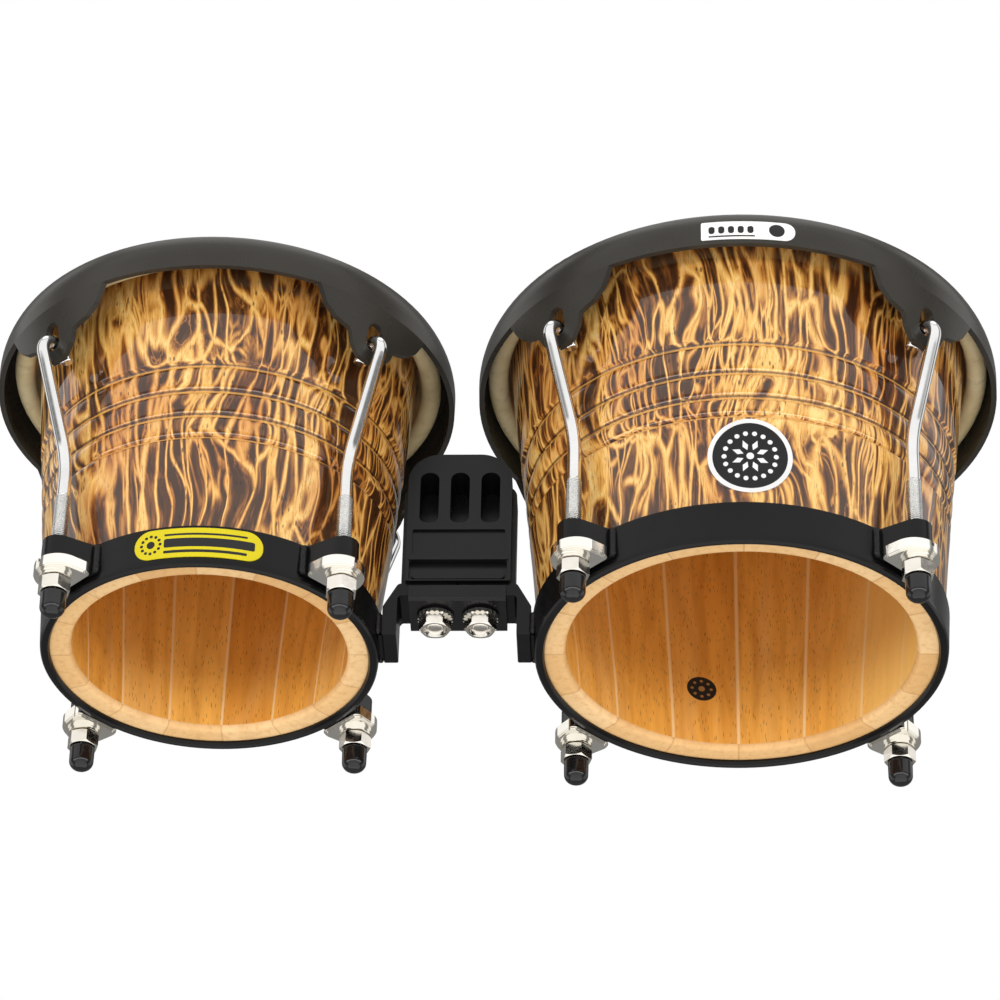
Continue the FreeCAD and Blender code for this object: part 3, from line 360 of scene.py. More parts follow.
def end_grain(name, phase, seed):
    """Bare turned bottom edge of the shell."""
    k = Mat(name)
    base = k.coord(loc=(seed * 0.2, 0, 0))
    idx, frac, z = stave_fraction(k, 16, phase)
    wn = k.n("ShaderNodeTexWhiteNoise", noise_dimensions="1D")
    k.link(k.math("ADD", idx, seed * 2.3), wn.inputs["W"])
    tone = k.ramp(wn.outputs[0], [(0.0, (0.72, 0.42, 0.165)), (0.5, (0.80, 0.50, 0.22)), (1.0, (0.86, 0.58, 0.29))])
    rings = k.noise(k.vmath("MULTIPLY", base, (330, 330, 330)), 1.0, 4.0, 0.6, 0.4)
    streak = k.noise(k.vmath("MULTIPLY", base, (60, 60, 60)), 1.0, 3.0, 0.55)
    col = k.mix(k.smooth(rings, 0.45, 0.7, 0.0, 0.35), tone, (0.55, 0.27, 0.085))
    col = k.mix(k.smooth(streak, 0.55, 0.75, 0.0, 0.35), col, (0.62, 0.34, 0.13))
    seam = k.math("MINIMUM", frac, k.math("SUBTRACT", 1.0, frac))
    line = k.math("SUBTRACT", 1.0, k.smooth(seam, 0.008, 0.02))
    col = k.mix(k.math("MULTIPLY", line, 0.45), col, (0.46, 0.22, 0.07))
    k.color(col).rough(k.smooth(rings, 0.3, 0.7, 0.5, 0.62))
    k.set(specular_ior_level=0.3)
    k.bump(rings, 0.25, 0.0002)
    return k.m


def powder(name, c0, c1, rough0, rough1, grain=1400.0, strength=0.12, sheen=0.26):
    """Powder-coated steel: fine orange peel and slight colour drift."""
    k = Mat(name)
    v = k.coord()
    n1 = k.noise(v, 28.0, 4.0, 0.55)
    n2 = k.noise(v, grain, 2.0, 0.6)
    k.color(k.ramp(n1, [(0.3, c0), (0.7, c1)]))
    k.rough(k.smooth(n1, 0.25, 0.75, rough0, rough1))
    k.set(specular_ior_level=sheen)
    k.bump(k.math("ADD", n2, k.math("MULTIPLY", k.noise(v, 260.0, 3.0), 0.6)), strength, 0.00012)
    return k.m


def metal(name, c0, c1, rough0, rough1, brushed=0.0):
    k = Mat(name)
    v = k.coord()
    n1 = k.noise(v, 60.0, 4.0, 0.55)
    k.color(k.ramp(n1, [(0.3, c0), (0.7, c1)]))
    k.rough(k.smooth(k.noise(v, 420.0, 3.0, 0.6), 0.3, 0.7, rough0, rough1))
    k.set(metallic=1.0)
    if brushed:
        k.bump(k.noise(k.vmath("MULTIPLY", v, (3000, 3000, 300)), 1.0, 2.0, 0.6), brushed, 0.00005)
    else:
        k.bump(k.noise(v, 90.0, 3.0, 0.5), 0.05, 0.0002)
    return k.m


def rubber(name):
    k = Mat(name)
    v = k.coord()
    n1 = k.noise(v, 120.0, 4.0, 0.6)
    k.color(k.ramp(n1, [(0.3, (0.006, 0.006, 0.0065)), (0.7, (0.013, 0.013, 0.014))]))
    k.rough(k.smooth(n1, 0.3, 0.7, 0.09, 0.17))
    k.set(specular_ior_level=0.40)
    k.bump(k.noise(v, 700.0, 3.0, 0.5), 0.06, 0.0002)
    return k.m


def rawhide(name):
    """Matt rawhide: cloudy cream and olive with fine fibres and pores."""
    k = Mat(name)
    v = k.coord()
    big = k.noise(v, 22.0, 5.0, 0.62, 0.6)
    mid = k.noise(v, 110.0, 4.0, 0.6)
    fib = k.noise(k.vmath("MULTIPLY", v, (900, 300, 900)), 1.0, 3.0, 0.7)
    col = k.ramp(big, [(0.25, (0.40, 0.315, 0.155)), (0.45, (0.56, 0.455, 0.25)), (0.62, (0.68, 0.575, 0.35)), (0.8, (0.76, 0.67, 0.45))])
    col = k.mix(k.smooth(mid, 0.5, 0.75, 0.0, 0.45), col, (0.33, 0.26, 0.14))
    col = k.mix(k.smooth(fib, 0.62, 0.78, 0.0, 0.4), col, (0.22, 0.16, 0.08))
    k.color(col).rough(k.smooth(mid, 0.3, 0.7, 0.5, 0.68))
    k.set(specular_ior_level=0.35, subsurface_weight=0.08, subsurface_scale=0.004)
    k.bump(k.math("ADD", mid, k.math("MULTIPLY", fib, 0.5)), 0.3, 0.0003)
    return k.m


def film(name, c, rough=0.28):
    """Printed film: slight unevenness of ink and gloss."""
    k = Mat(name)
    v = k.coord()
    n1 = k.noise(v, 90.0, 4.0, 0.6)
    k.color(k.mix(k.smooth(n1, 0.3, 0.7, 0.0, 0.12), c, tuple(0.8 * x for x in c)))
    k.rough(k.smooth(n1, 0.3, 0.7, rough * 0.8, rough * 1.3))
    k.set(specular_ior_level=0.3)
    k.bump(k.noise(v, 500.0, 2.0), 0.04, 0.0001)
    return k.m


M = {
    "ring": powder("ring_powder", (0.0030, 0.0030, 0.0032), (0.0052, 0.0052, 0.0054), 0.18, 0.27, sheen=0.205),
    "rim": powder("rim_powder", (0.0245, 0.0220, 0.0180), (0.0325, 0.0295, 0.0245), 0.24, 0.31, sheen=0.24),
    "block": powder("block_satin", (0.0035, 0.0035, 0.0038), (0.0065, 0.0065, 0.0068), 0.24, 0.34, 900.0, 0.16),
    "chrome": metal("rod_chrome", (0.70, 0.705, 0.71), (0.80, 0.80, 0.80), 0.05, 0.12),
    "nickel": metal("plate_nickel", (0.88, 0.85, 0.78), (0.94, 0.915, 0.85), 0.07, 0.13),
    "nut": metal("nut_nickel", (0.72, 0.68, 0.61), (0.84, 0.80, 0.74), 0.12, 0.22, 0.05),
    "steel": metal("plain_steel", (0.50, 0.50, 0.50), (0.60, 0.60, 0.59), 0.28, 0.42, 0.08),
    "rubber": rubber("cap_rubber"),
    "weld": powder("weld_coat", (0.0032, 0.0032, 0.0034), (0.0060, 0.0060, 0.0062), 0.17, 0.3, 600.0, 0.35),
    "thread": metal("thread_zinc", (0.50, 0.50, 0.49), (0.60, 0.60, 0.585), 0.22, 0.32),
    "skin": rawhide("head_skin"),
    "badge_black": film("badge_black", (0.006, 0.006, 0.007), 0.1),
    "badge_silver": metal("badge_silver", (0.80, 0.80, 0.80), (0.88, 0.88, 0.88), 0.18, 0.28),
    "yellow": film("label_yellow", (0.63, 0.525, 0.003), 0.3),
    "white": film("label_white", (0.84, 0.84, 0.83), 0.3),
    "ink": film("label_ink", (0.012, 0.012, 0.012), 0.35),
}


def give(node_name, mat):
    o = nodes[node_name]
    o.data.materials.clear()
    o.data.materials.append(mat)


for size in DRUMS:
    for part, mat in (("bottom_ring", "ring"), ("lug_straps", "ring"), ("bracket", "ring"), ("lug_plates", "nickel"),
                      ("washers", "nickel"), ("rod_caps", "rubber"), ("rim", "rim"), ("flesh_hoop", "steel"),
                      ("tuning_rods", "chrome"), ("head", "skin"), ("head_wrap", "skin"), ("head_collar", "skin"), ("shell", "ring")):
        give("%s_%s" % (size, part), M[mat])
    for i in range(4):
        give("%s_nut_%d" % (size, i + 1), M["nut"])
for part, mat in (("centre_block", "block"), ("clamp_plate", "block"), ("threaded_inserts", "steel"), ("clamp_flat_washers", "ring"),
                  ("clamp_lock_washers", "nickel"), ("clamp_bolts", "nut"), ("large_badge_disc", "badge_black"),
                  ("large_badge_ring", "badge_silver"), ("small_ring_label", "yellow"), ("large_rim_label", "white")):
    give(part, M[mat])


# ------------------------------------------------------------------ mesh helpers
def make_mesh(name, verts, faces, mats, face_mat=None, smooth=True, loc=(0, 0, 0)):
    me = bpy.data.meshes.new(name)
    # every face is wound so that its normal looks out of the solid
    pts = np.array([tuple(v) for v in verts], float)
    faces = [tuple(int(i) for i in f) for f in faces]
    volume = 0.0
    for size_ in {len(f) for f in faces}:
        ring = pts[np.array([f for f in faces if len(f) == size_])]
        for i in range(1, size_ - 1):
            volume += np.einsum("ij,ij->i", ring[:, 0], np.cross(ring[:, i], ring[:, i + 1])).sum()
    if volume < 0:
        faces = [f[::-1] for f in faces]
    me.from_pydata([tuple(v) for v in verts], [], faces)
    for m in mats:
        me.materials.append(m)
    if face_mat is not None:
        me.polygons.foreach_set("material_index", np.array(face_mat, dtype=np.int32))
    me.polygons.foreach_set("use_smooth", np.full(len(me.polygons), smooth))
    me.update()
    o = bpy.data.objects.new(name, me)
    o.location = loc
    bpy.context.scene.collection.objects.link(o)
    return o


def revolve_closed(profile, n, wobble=None):
    """Vertices and quads of a closed profile turned all the way round. profile: (r, z) in mm."""
    m = len(profile)
    p = np.array(profile, float)
    ang = np.linspace(0, 2 * math.pi, n, endpoint=False)
    r = np.repeat(p[:, 0][:, None], n, 1)
    z = np.repeat(p[:, 1][:, None], n, 1)
    if wobble is not None:
        r, z = wobble(r, z, ang[None, :], p)
    x, y = r * np.cos(ang)[None, :], r * np.sin(ang)[None, :]
    verts = np.stack([x, y, z], -1).reshape(-1, 3) * MM
    i = np.arange(m)[:, None]
    j = np.arange(n)[None, :]
    a = i * n + j
    b = i * n + (j + 1) % n
    c = ((i + 1) % m) * n + (j + 1) % n
    d = ((i + 1) % m) * n + j
    faces = np.stack([a, b, c, d], -1).reshape(-1, 4)
    return verts, faces


def interp_outer(table, z):
    zs = np.array([t[0] for t in table], float)
    rs = np.array([t[1] for t in table], float)
    # smooth the measured corners a little
    span = np.linspace(-9, 9, 13)
    weights = np.exp(-(span / 5.0) ** 2)
    z = np.asarray(z, float)
    total = sum(w * np.interp(np.clip(z + s, 0, 168), zs, rs) for s, w in zip(span, weights))
    return total / weights.sum()


def shell_radius(d, z):
    """Outer radius with the three turned beads between four cuts."""
    z = np.asarray(z, float)
    r = interp_outer(d["outer"], z)
    g = d["grooves"]
    deep, floor = 1.75, 0.6
    cutd = np.zeros_like(z)
    for a, b in zip(g, g[1:]):
        inside = (z >= a) & (z <= b)
        s = np.clip((z - (a + b) / 2) / ((b - a) / 2 - floor), -1, 1)
        cutd = np.where(inside, deep - 1.6 * np.sqrt(np.clip(1 - np.abs(s) ** 2.05, 0, 1)), cutd)
    low = (z < g[0]) & (z > g[0] - 1.4)
    cutd = np.where(low, deep * np.clip(1 - (g[0] - z - 0.5) / 0.9, 0, 1), cutd)
    high = (z > g[-1]) & (z < g[-1] + 2.6)
    cutd = np.where(high, deep * np.clip(1 - (z - g[-1] - 0.6) / 2.0, 0, 1) ** 0.7, cutd)
    return r - cutd


def build_shell(size):
    d = DRUMS[size]
    o_ = d["outer"]
    rb, rt = o_[0][1], o_[-1][1]
    g = d["grooves"]
    zs = set(np.round(np.linspace(0.35, 165.0, 90), 3))
    for a, b in zip(g, g[1:]):
        t = np.sin(np.linspace(-math.pi / 2, math.pi / 2, 33))
        zs.update(np.round((a + b) / 2 + t * ((b - a) / 2 - 0.6), 3))
    for k in g:
        zs.update(np.round([k - 0.3, k, k + 0.3], 3))
    zs.update(np.round([g[0] - 1.4, g[0] - 0.95, g[0] - 0.5], 3))
    zs.update(np.round([g[-1] + f for f in (0.6, 1.0, 1.4, 1.8, 2.2, 2.6)], 3))
    kept = []
    for z in sorted(float(z) for z in zs if 0.35 <= z <= 165.0):
        if not kept or z - kept[-1] >= 0.08:
            kept.append(z)
    zs = kept
    outer = [(float(shell_radius(d, z)), z) for z in zs]
    top = [(rt - 0.2, 165.4), (rt - 0.6, 166.6), (rt - 1.6, 167.45), (rt - 2.6, 167.85), (rt - 3.5, 167.95), (rt - 4.4, 167.6), (rt - 5.4, 166.4)]
    inner = [(rt - 10.5, 159.0)]
    for z in np.linspace(150, 24, 26):
        f = (z - 24.0) / (159.0 - 24.0)
        inner.append((rb - 12.3 + 1.9 + f * ((rt - 10.5) - (rb - 12.3 + 1.9)), z))
    inner += [(rb - 12.3 + 0.9, 12.0), (rb - 12.3 + 0.1, 2.6)]
    lip = [(rb - 12.3 + 0.25, 1.7), (rb - 12.3 + 1.0, 0.5), (rb - 12.3 + 1.5, 0.1)]
    bottom = [(rb - 9.0, 0.0), (rb - 6.0, 0.0), (rb - 3.0, 0.0), (rb - 0.6, 0.0), (rb - 0.1, 0.12)]
    prof = outer + top + inner + lip + bottom
    kinds = [0] * (len(outer) + 4) + [1] * (len(top) - 4 + len(inner) - 1) + [2] * (len(prof) - len(outer) - 4 - (len(top) - 4 + len(inner) - 1))
    kinds = kinds[:len(prof)]
    n = 384
    inside = np.zeros(len(prof), bool)
    inside[len(outer) + len(top):len(outer) + len(top) + len(inner)] = True

    def wobble(r, z, ang, p):
        # a fine line at each joint on the inside; the stave sag is computed but multiplied by zero, so the backs stay
        # round
        f = (ang / (2 * math.pi) * 16) % 1.0
        seam = np.minimum(f, 1 - f)
        line = np.exp(-(seam / 0.02) ** 2) * 0.22
        sag = (0.25 - (f - 0.5) ** 2) * 1.6
        mask = inside[:, None].astype(float)
        r = r + mask * (line - sag * 0.0)
        return r, z

    verts, faces = revolve_closed(prof, n, wobble)
    verts[:, 2] += ZB * MM
    fm = np.repeat(np.array(kinds, np.int32), n)
    o = make_mesh(size + "_shell_turned", verts, faces[:, ::-1], [
        flame_lacquer(size + "_flame_lacquer", (d["seed"] * 0.31, d["seed"] * 0.17, 0.05 * d["seed"]), d["grooves"]),
        # the large drum's inside gets painted light, paler towards +X
        inner_wood(size + "_inner_wood", 0.0, d["seed"], 0.85 if size == "large" else 0.0),
        end_grain(size + "_bottom_edge", 0.0, d["seed"]),
    ], fm)
    o.location = (d["x"] * MM, 0, 0)
    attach(o, ROOT)
    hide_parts(size + "_shell")
    return o


# ------------------------------------------------------------------ rods with rolled threads
def lean_of(d):
    outer = d["rim"] - 0.2195 * (141.3 - 117.2)
    cr, cz, k = outer - 0.3, 117.2, 6.6
    t = 0.3
    for _ in range(60):
        t = math.atan2(cr + k * math.cos(t) - d["rod"], cz - k * math.sin(t) - d["bend"])
    return cr, cz, k, t


def rod_path(d):
    """Centre line points (r, z) and tangents."""
    rr, zb = d["rod"], d["bend"]
    cr, cz, k, t = lean_of(d)
    out = np.array([math.cos(t), -math.sin(t)])
    along = np.array([math.sin(t), math.cos(t)])
    c = np.array([cr, cz])
    bend_r = 60.0
    dd = bend_r * math.tan(t / 2)
    b0 = np.array([rr, zb - dd])
    cc = np.array([rr + bend_r, zb - dd])
    pts, tan = [], []
    for z in np.arange(-19.6, 43.0, 0.125):
        pts.append((rr, z)); tan.append((0, 1))
    for z in np.linspace(43.6, b0[1], 8):
        pts.append((rr, z)); tan.append((0, 1))
    for a in np.linspace(0, t, 25)[1:]:
        pts.append(tuple(cc + bend_r * np.array([-math.cos(a), math.sin(a)])))
        tan.append((math.sin(a), math.cos(a)))
    b1 = np.array(pts[-1])
    end = c + out * k
    for f in np.linspace(0, 1, 10)[1:]:
        pts.append(tuple(b1 + (end - b1) * f)); tan.append(tuple(along))
    for a in np.linspace(0, math.pi, 25)[1:]:
        pts.append(tuple(c + k * (math.cos(a) * out + math.sin(a) * along)))
        tan.append(tuple(-math.sin(a) * out + math.cos(a) * along))
    tip = np.array(pts[-1])
    for s in (1.2, 2.4, 3.2):
        pts.append(tuple(tip - along * s)); tan.append(tuple(-along))
    return np.array(pts), np.array(tan)


def build_rods(size):
    d = DRUMS[size]
    pts, tan = rod_path(d)
    seg = 32
    verts, faces, kinds = [], [], []
    for q in range(4):
        base = math.radians(d["turn"] + 90 * q)
        ca, sa = math.cos(base), math.sin(base)
        start = len(verts)
        rows = []
        # chamfered start, body, chamfered tip
        stations = []
        for i, ((r, z), (tr, tz)) in enumerate(zip(pts, tan)):
            stations.append((r, z, tr, tz, i))
        r0, z0, tr0, tz0, _ = stations[0]
        rl, zl, trl, tzl, _ = stations[-1]
        extra_tip = [(rl + trl * 0.45, zl + tzl * 0.45, trl, tzl, -1)]
        for (r, z, tr, tz, i) in stations + extra_tip:
            row = []
            nr, nz = tz, -tr          # in-plane normal
            for s in range(seg):
                a = 2 * math.pi * s / seg
                if i == -1:
                    rad = 2.65
                elif z < 43.0 and i < 502 and tr == 0:
                    ph = (z / 1.0 - a / (2 * math.pi) + q * 0.27) % 1.0
                    tri = abs(ph - 0.5) * 2
                    rad = 3.5 - 0.52 * (1 - min(1.0, tri * 1.25))
                    fade = min(1.0, max(0.0, (43.0 - z) / 1.6))
                    rad = 3.1 + (rad - 3.1) * fade if z > 41.2 else rad
                    if z < -18.6:
                        rad = min(rad, 2.7 + (z + 19.6) * 0.8)
                else:
                    rad = 3.1
                off_r = rad * math.cos(a) * nr
                off_z = rad * math.cos(a) * nz
                off_t = rad * math.sin(a)
                R, Z = r + off_r, z + off_z + ZB
                row.append(len(verts))
                verts.append(((R * ca - off_t * sa) * MM, (R * sa + off_t * ca) * MM, Z * MM))
            rows.append(row)
        for n_row, (a, b) in enumerate(zip(rows, rows[1:])):
            for s in range(seg):
                t = (s + 1) % seg
                faces.append((a[s], a[t], b[t], b[s]))
                kinds.append(1 if n_row < 496 else 0)
        faces.append(tuple(rows[0][::-1]))
        faces.append(tuple(rows[-1]))
        kinds += [1, 0]
    o = make_mesh(size + "_rods_threaded", verts, faces, [M["chrome"], M["thread"]], kinds)
    for p in o.data.polygons:
        if len(p.vertices) > 4:
            p.use_smooth = False
    o.location = (d["x"] * MM, 0, 0)
    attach(o, size + "_rim_set")
    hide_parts(size + "_tuning_rods")
    return o


# ------------------------------------------------------------------ moulded caps and clamp bolts
def ring_stack(rows, seg, shape, centre, verts, faces):
    """Closed solid from a stack of rings. rows: (limit radius, z, shaped); shape(angle) gives the hexagon's reach."""
    ids = []
    for limit, z, shaped in rows:
        row = []
        for s in range(seg):
            a = 2 * math.pi * s / seg
            r = min(limit, shape(a) * shaped) if shaped else limit
            row.append(len(verts))
            verts.append(((centre[0] + r * math.cos(a)) * MM, (centre[1] + r * math.sin(a)) * MM, z * MM))
        ids.append(row)
    for a, b in zip(ids, ids[1:]):
        for s in range(seg):
            t = (s + 1) % seg
            faces.append((a[s], a[t], b[t], b[s]))
    faces.append(tuple(ids[0][::-1]))
    faces.append(tuple(ids[-1]))


def build_caps(size):
    """Dipped rubber caps: a domed end, a slight taper and a rolled mouth round the rod."""
    d = DRUMS[size]
    verts, faces = [], []
    dome = []
    for a in np.linspace(math.radians(76), 0, 13):
        dome.append((1.45 + 4.28 * math.cos(a), 4.28 - 4.28 * math.sin(a), 0))
    rows = [(1.2, 0.04, 0)] + dome
    rows += [(5.78, 7.0, 0), (5.80, 9.6, 0), (5.85, 10.1, 0), (5.82, 10.7, 0), (5.55, 11.05, 0), (5.1, 11.1, 0), (4.0, 11.1, 0),
             (3.62, 10.9, 0), (3.56, 10.4, 0), (3.56, 2.3, 0), (1.0, 2.15, 0)]
    rows = [(r, z, s) for r, z, s in rows]
    for q in range(4):
        base = math.radians(d["turn"] + 90 * q)
        ring_stack(rows, 64, None, (d["rod"] * math.cos(base), d["rod"] * math.sin(base)), verts, faces)
    o = make_mesh(size + "_caps_moulded", verts, faces, [M["rubber"]])
    o.data.set_sharp_from_angle(angle=math.radians(50))
    o.location = (d["x"] * MM, 0, 0)
    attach(o, size + "_rim_set")
    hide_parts(size + "_rod_caps")


def build_bolts():
    """Chamfered hexagon bolts with a dished head and a sunk round mark."""
    verts, faces = [], []

    def hexagon(a):
        f = (a + math.pi / 6) % (math.pi / 3) - math.pi / 6
        return 6.5 / math.cos(math.pi / 6 - abs(f)) if abs(f) < math.pi / 6 else 6.5

    z = 35.1
    rows = [(1.2, z + 1.15, 0), (2.7, z + 1.20, 0.5), (3.2, z + 1.30, 0.56), (3.45, z + 1.62, 0.60), (4.25, z + 1.62, 0), (4.6, z + 1.35, 0),
            (4.95, z + 0.72, 0), (5.2, z + 0.22, 0), (5.38, z + 0.03, 0), (6.1, z, 0), (6.4, z + 0.04, 1), (6.62, z + 0.14, 1), (6.95, z + 0.30, 1),
            (7.25, z + 0.46, 1), (7.6, z + 0.66, 1), (7.6, z + 5.2, 1), (7.3, z + 5.6, 1), (4.0, z + 5.6, 0), (4.0, 65.0, 0), (3.4, 65.7, 0), (1.0, 65.7, 0)]
    for sign in (-1, 1):
        ring_stack(rows, 96, hexagon, (-15.2 + sign * 10.4, 0.0), verts, faces)
    o = make_mesh("clamp_bolts_dished", verts, faces, [M["nut"]])
    o.data.set_sharp_from_angle(angle=math.radians(24))
    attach(o, ROOT)
    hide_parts("clamp_bolts")


# ------------------------------------------------------------------ head skins
def build_head(size):
    """One hide: the playing field, down over the bearing edge, under and round the hoop, tucked at the top."""
    d = DRUMS[size]
    top = d["outer"][-1][1]
    h, t = 168.0, 1.3
    rh, zh = d["hoop"], 155.3
    path = [(1.5, h + 0.1 + t / 2)]
    for r in np.linspace(8, top - 5.5, 16):
        path.append((r, h + 0.1 + t / 2))
    # over the edge
    c0 = (top - 3.0, h - 3.25)
    for a in np.radians([82, 70, 58, 46, 34, 22, 10, 0]):
        path.append((c0[0] + 4.0 * math.cos(a), c0[1] + 4.0 * math.sin(a)))
    path.append((top + 1.15, h - 6.0))
    path.append((top + 1.6, h - 8.5))
    rc = 4.1
    for a in np.radians(np.linspace(172, 178, 2)):
        path.append((rh + rc * math.cos(a), zh + rc * math.sin(a)))
    for a in np.radians(np.linspace(188, 488, 31)):
        path.append((rh + rc * math.cos(a), zh + rc * math.sin(a)))
    p = np.array(path)
    tang = np.gradient(p, axis=0)
    tang /= np.linalg.norm(tang, axis=1)[:, None]
    nor = np.stack([-tang[:, 1], tang[:, 0]], 1)
    up = p + nor * t / 2
    dn = p - nor * t / 2
    prof = [tuple(q) for q in up] + [tuple(q) for q in dn[::-1]]
    n = 360
    rng = np.random.default_rng(d["seed"])
    ph = rng.uniform(0, 6.28, 12)

    def wobble(r, z, ang, pr):
        s = sum(np.sin(ang * k + ph[k % 12]) / k for k in (3, 5, 8, 13, 21))
        tuck = np.clip((pr[:, 0:1] - (rh - 3.0)) / 3.0, 0, 1) * np.clip((168 - pr[:, 1:2]) / 6.0, 0, 1)
        fine = np.sin(ang * 47 + ph[1]) * 0.5 + np.sin(ang * 71 + ph[2]) * 0.4
        r = r + tuck * (0.05 * s + 0.05 * fine)
        z = z + tuck * 0.06 * s
        return r, z

    verts, faces = revolve_closed(prof, n, wobble)
    # close the small hole in the middle with two caps
    m = len(prof)
    half = len(up)
    keep = []
    ring_a = [0 * n + j for j in range(n)]
    ring_b = [(m - 1) * n + j for j in range(n)]
    faces = [tuple(f) for f in faces if not (set(f) <= set(ring_a + ring_b))]
    ca = len(verts)
    verts = np.vstack([verts, [[0, 0, float(verts[ring_a[0]][2])], [0, 0, float(verts[ring_b[0]][2])]]])
    for j in range(n):
        faces.append((ring_a[(j + 1) % n], ring_a[j], ca))
        faces.append((ring_b[j], ring_b[(j + 1) % n], ca + 1))
    verts[:, 2] += ZB * MM
    verts[:, 0] += d["x"] * MM
    o = make_mesh(size + "_head_hide", verts, faces, [M["skin"]])
    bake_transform(o)
    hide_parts(size + "_head", size + "_head_wrap", size + "_head_collar")
    return o


# ------------------------------------------------------------------ weld beads
def bead_tube(points, radius, rng, verts, faces, seg=14):
    """A rippled, lumpy bead along a line of points (mm)."""
    pts = np.array(points, float)
    n = len(pts)
    tang = np.gradient(pts, axis=0)
    tang /= np.linalg.norm(tang, axis=1)[:, None]
    ref = np.array([0.3, 0.2, 0.93]) if abs(tang[0][2]) < 0.8 else np.array([0.9, 0.3, 0.1])
    start = len(verts)
    length = np.concatenate([[0], np.cumsum(np.linalg.norm(np.diff(pts, axis=0), axis=1))])
    phase = rng.uniform(0, 6.28)
    for i in range(n):
        side = np.cross(tang[i], ref)
        side /= np.linalg.norm(side)
        up = np.cross(side, tang[i])
        end = min(1.0, math.sqrt(max(0.0, min(length[i], length[-1] - length[i]) / 1.4)) * 0.8 + 0.3)
        r = radius * end * (1 + 0.13 * abs(math.sin(length[i] * math.pi / 1.5 + phase)) + rng.uniform(-0.05, 0.05))
        for j in range(seg):
            a = 2 * math.pi * j / seg
            lump = 1 + rng.uniform(-0.045, 0.045)
            verts.append(tuple((pts[i] + r * lump * (math.cos(a) * side + math.sin(a) * up)) * MM))
    for i in range(n - 1):
        for j in range(seg):
            a, b = start + i * seg + j, start + i * seg + (j + 1) % seg
            faces.append((a, b, b + seg, a + seg))
    faces.append(tuple(start + j for j in range(seg))[::-1])
    faces.append(tuple(start + (n - 1) * seg + j for j in range(seg)))


def build_welds(size):
    d = DRUMS[size]
    rng = np.random.default_rng(d["seed"] + 40)
    verts, faces = [], []
    ring = d["ring"]
    for q in range(4):
        base = math.radians(d["turn"] + 90 * q)
        ca, sa = math.cos(base), math.sin(base)
        for sign in (1, -1):
            y = sign * 12.0
            pts = []
            for z in np.arange(1.6, 16.6, 0.5):
                wob = rng.uniform(-0.12, 0.12)
                x = math.sqrt((ring + 0.75) ** 2 - y * y)
                pts.append(((x * ca - (y + wob) * sa), (x * sa + (y + wob) * ca), z + ZB))
            bead_tube(pts, 1.75, rng, verts, faces)
    # the two beads down the sides of the bracket's foot
    inward = 1 if size == "small" else -1
    for sign in (1, -1):
        y = sign * 11.9
        pts = []
        for z in np.arange(3.8, 15.0, 0.5):
            x = math.sqrt((ring + 0.95) ** 2 - y * y) * inward
            pts.append((x + rng.uniform(-0.1, 0.1), y + rng.uniform(-0.1, 0.1), z + ZB))
        bead_tube(pts, 1.7, rng, verts, faces)
    o = make_mesh(size + "_weld_beads", verts, faces, [M["weld"]])
    o.location = (d["x"] * MM, 0, 0)
    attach(o, ROOT)
    return o


for size in DRUMS:
    build_shell(size)
    build_rods(size)
    build_head(size)
    build_caps(size)
    build_welds(size)
build_bolts()


# ------------------------------------------------------------------ printed motifs, no lettering
def plate(name, outline_fn, polys, height, mat, body, depth=0.12):
    """Thin raised shapes on a curved face. polys: lists of (t, z) outlines in mm; outline_fn maps (t, z, h) to a point."""
    verts, faces = [], []
    for poly in polys:
        pts = []
        n = len(poly)
        for i in range(n):
            a, b = poly[i], poly[(i + 1) % n]
            steps = max(1, int(math.hypot(b[0] - a[0], b[1] - a[1]) / 1.2))
            for s in range(steps):
                f = s / steps
                pts.append((a[0] + (b[0] - a[0]) * f, a[1] + (b[1] - a[1]) * f))
        cx = sum(p[0] for p in pts) / len(pts)
        cz = sum(p[1] for p in pts) / len(pts)
        rings = []
        reach = max(math.hypot(t - cx, z - cz) for t, z in pts)
        inner = [(float(f), height) for f in np.linspace(0.985, 0.03, max(3, int(reach / 0.9)))]
        for scale, h in [(1.0, height - depth), (1.0, height - 0.02)] + inner:
            row = []
            for t, z in pts:
                row.append(len(verts))
                verts.append(outline_fn(cx + (t - cx) * scale, cz + (z - cz) * scale, h))
            rings.append(row)
        top = len(verts); verts.append(outline_fn(cx, cz, height))
        low = len(verts); verts.append(outline_fn(cx, cz, height - depth))
        k = len(pts)
        inner_low = []
        for f in np.linspace(0.97, 0.03, max(3, int(reach / 0.9))):
            row = []
            for t, z in pts:
                row.append(len(verts))
                verts.append(outline_fn(cx + (t - cx) * float(f), cz + (z - cz) * float(f), height - depth))
            inner_low.append(row)
        chain = [rings[0]] + inner_low
        for a, b in zip(chain, chain[1:]):
            for i in range(k):
                j = (i + 1) % k
                faces.append((a[j], a[i], b[i], b[j]))
        for a, b in zip(rings, rings[1:]):
            for i in range(k):
                j = (i + 1) % k
                faces.append((a[i], a[j], b[j], b[i]))
        for i in range(k):
            j = (i + 1) % k
            faces.append((rings[-1][i], rings[-1][j], top))
            faces.append((inner_low[-1][j], inner_low[-1][i], low))
    o = make_mesh(name, verts, faces, [mat], smooth=False)
    bpy.context.view_layer.update()
    import bmesh
    bm = bmesh.new(); bm.from_mesh(o.data)
    bmesh.ops.recalc_face_normals(bm, faces=bm.faces)
    bm.to_mesh(o.data); bm.free()
    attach(o, body)
    return o


def circle_poly(cx, cz, r, n=24):
    return [(cx + r * math.cos(2 * math.pi * i / n), cz + r * math.sin(2 * math.pi * i / n)) for i in range(n)]


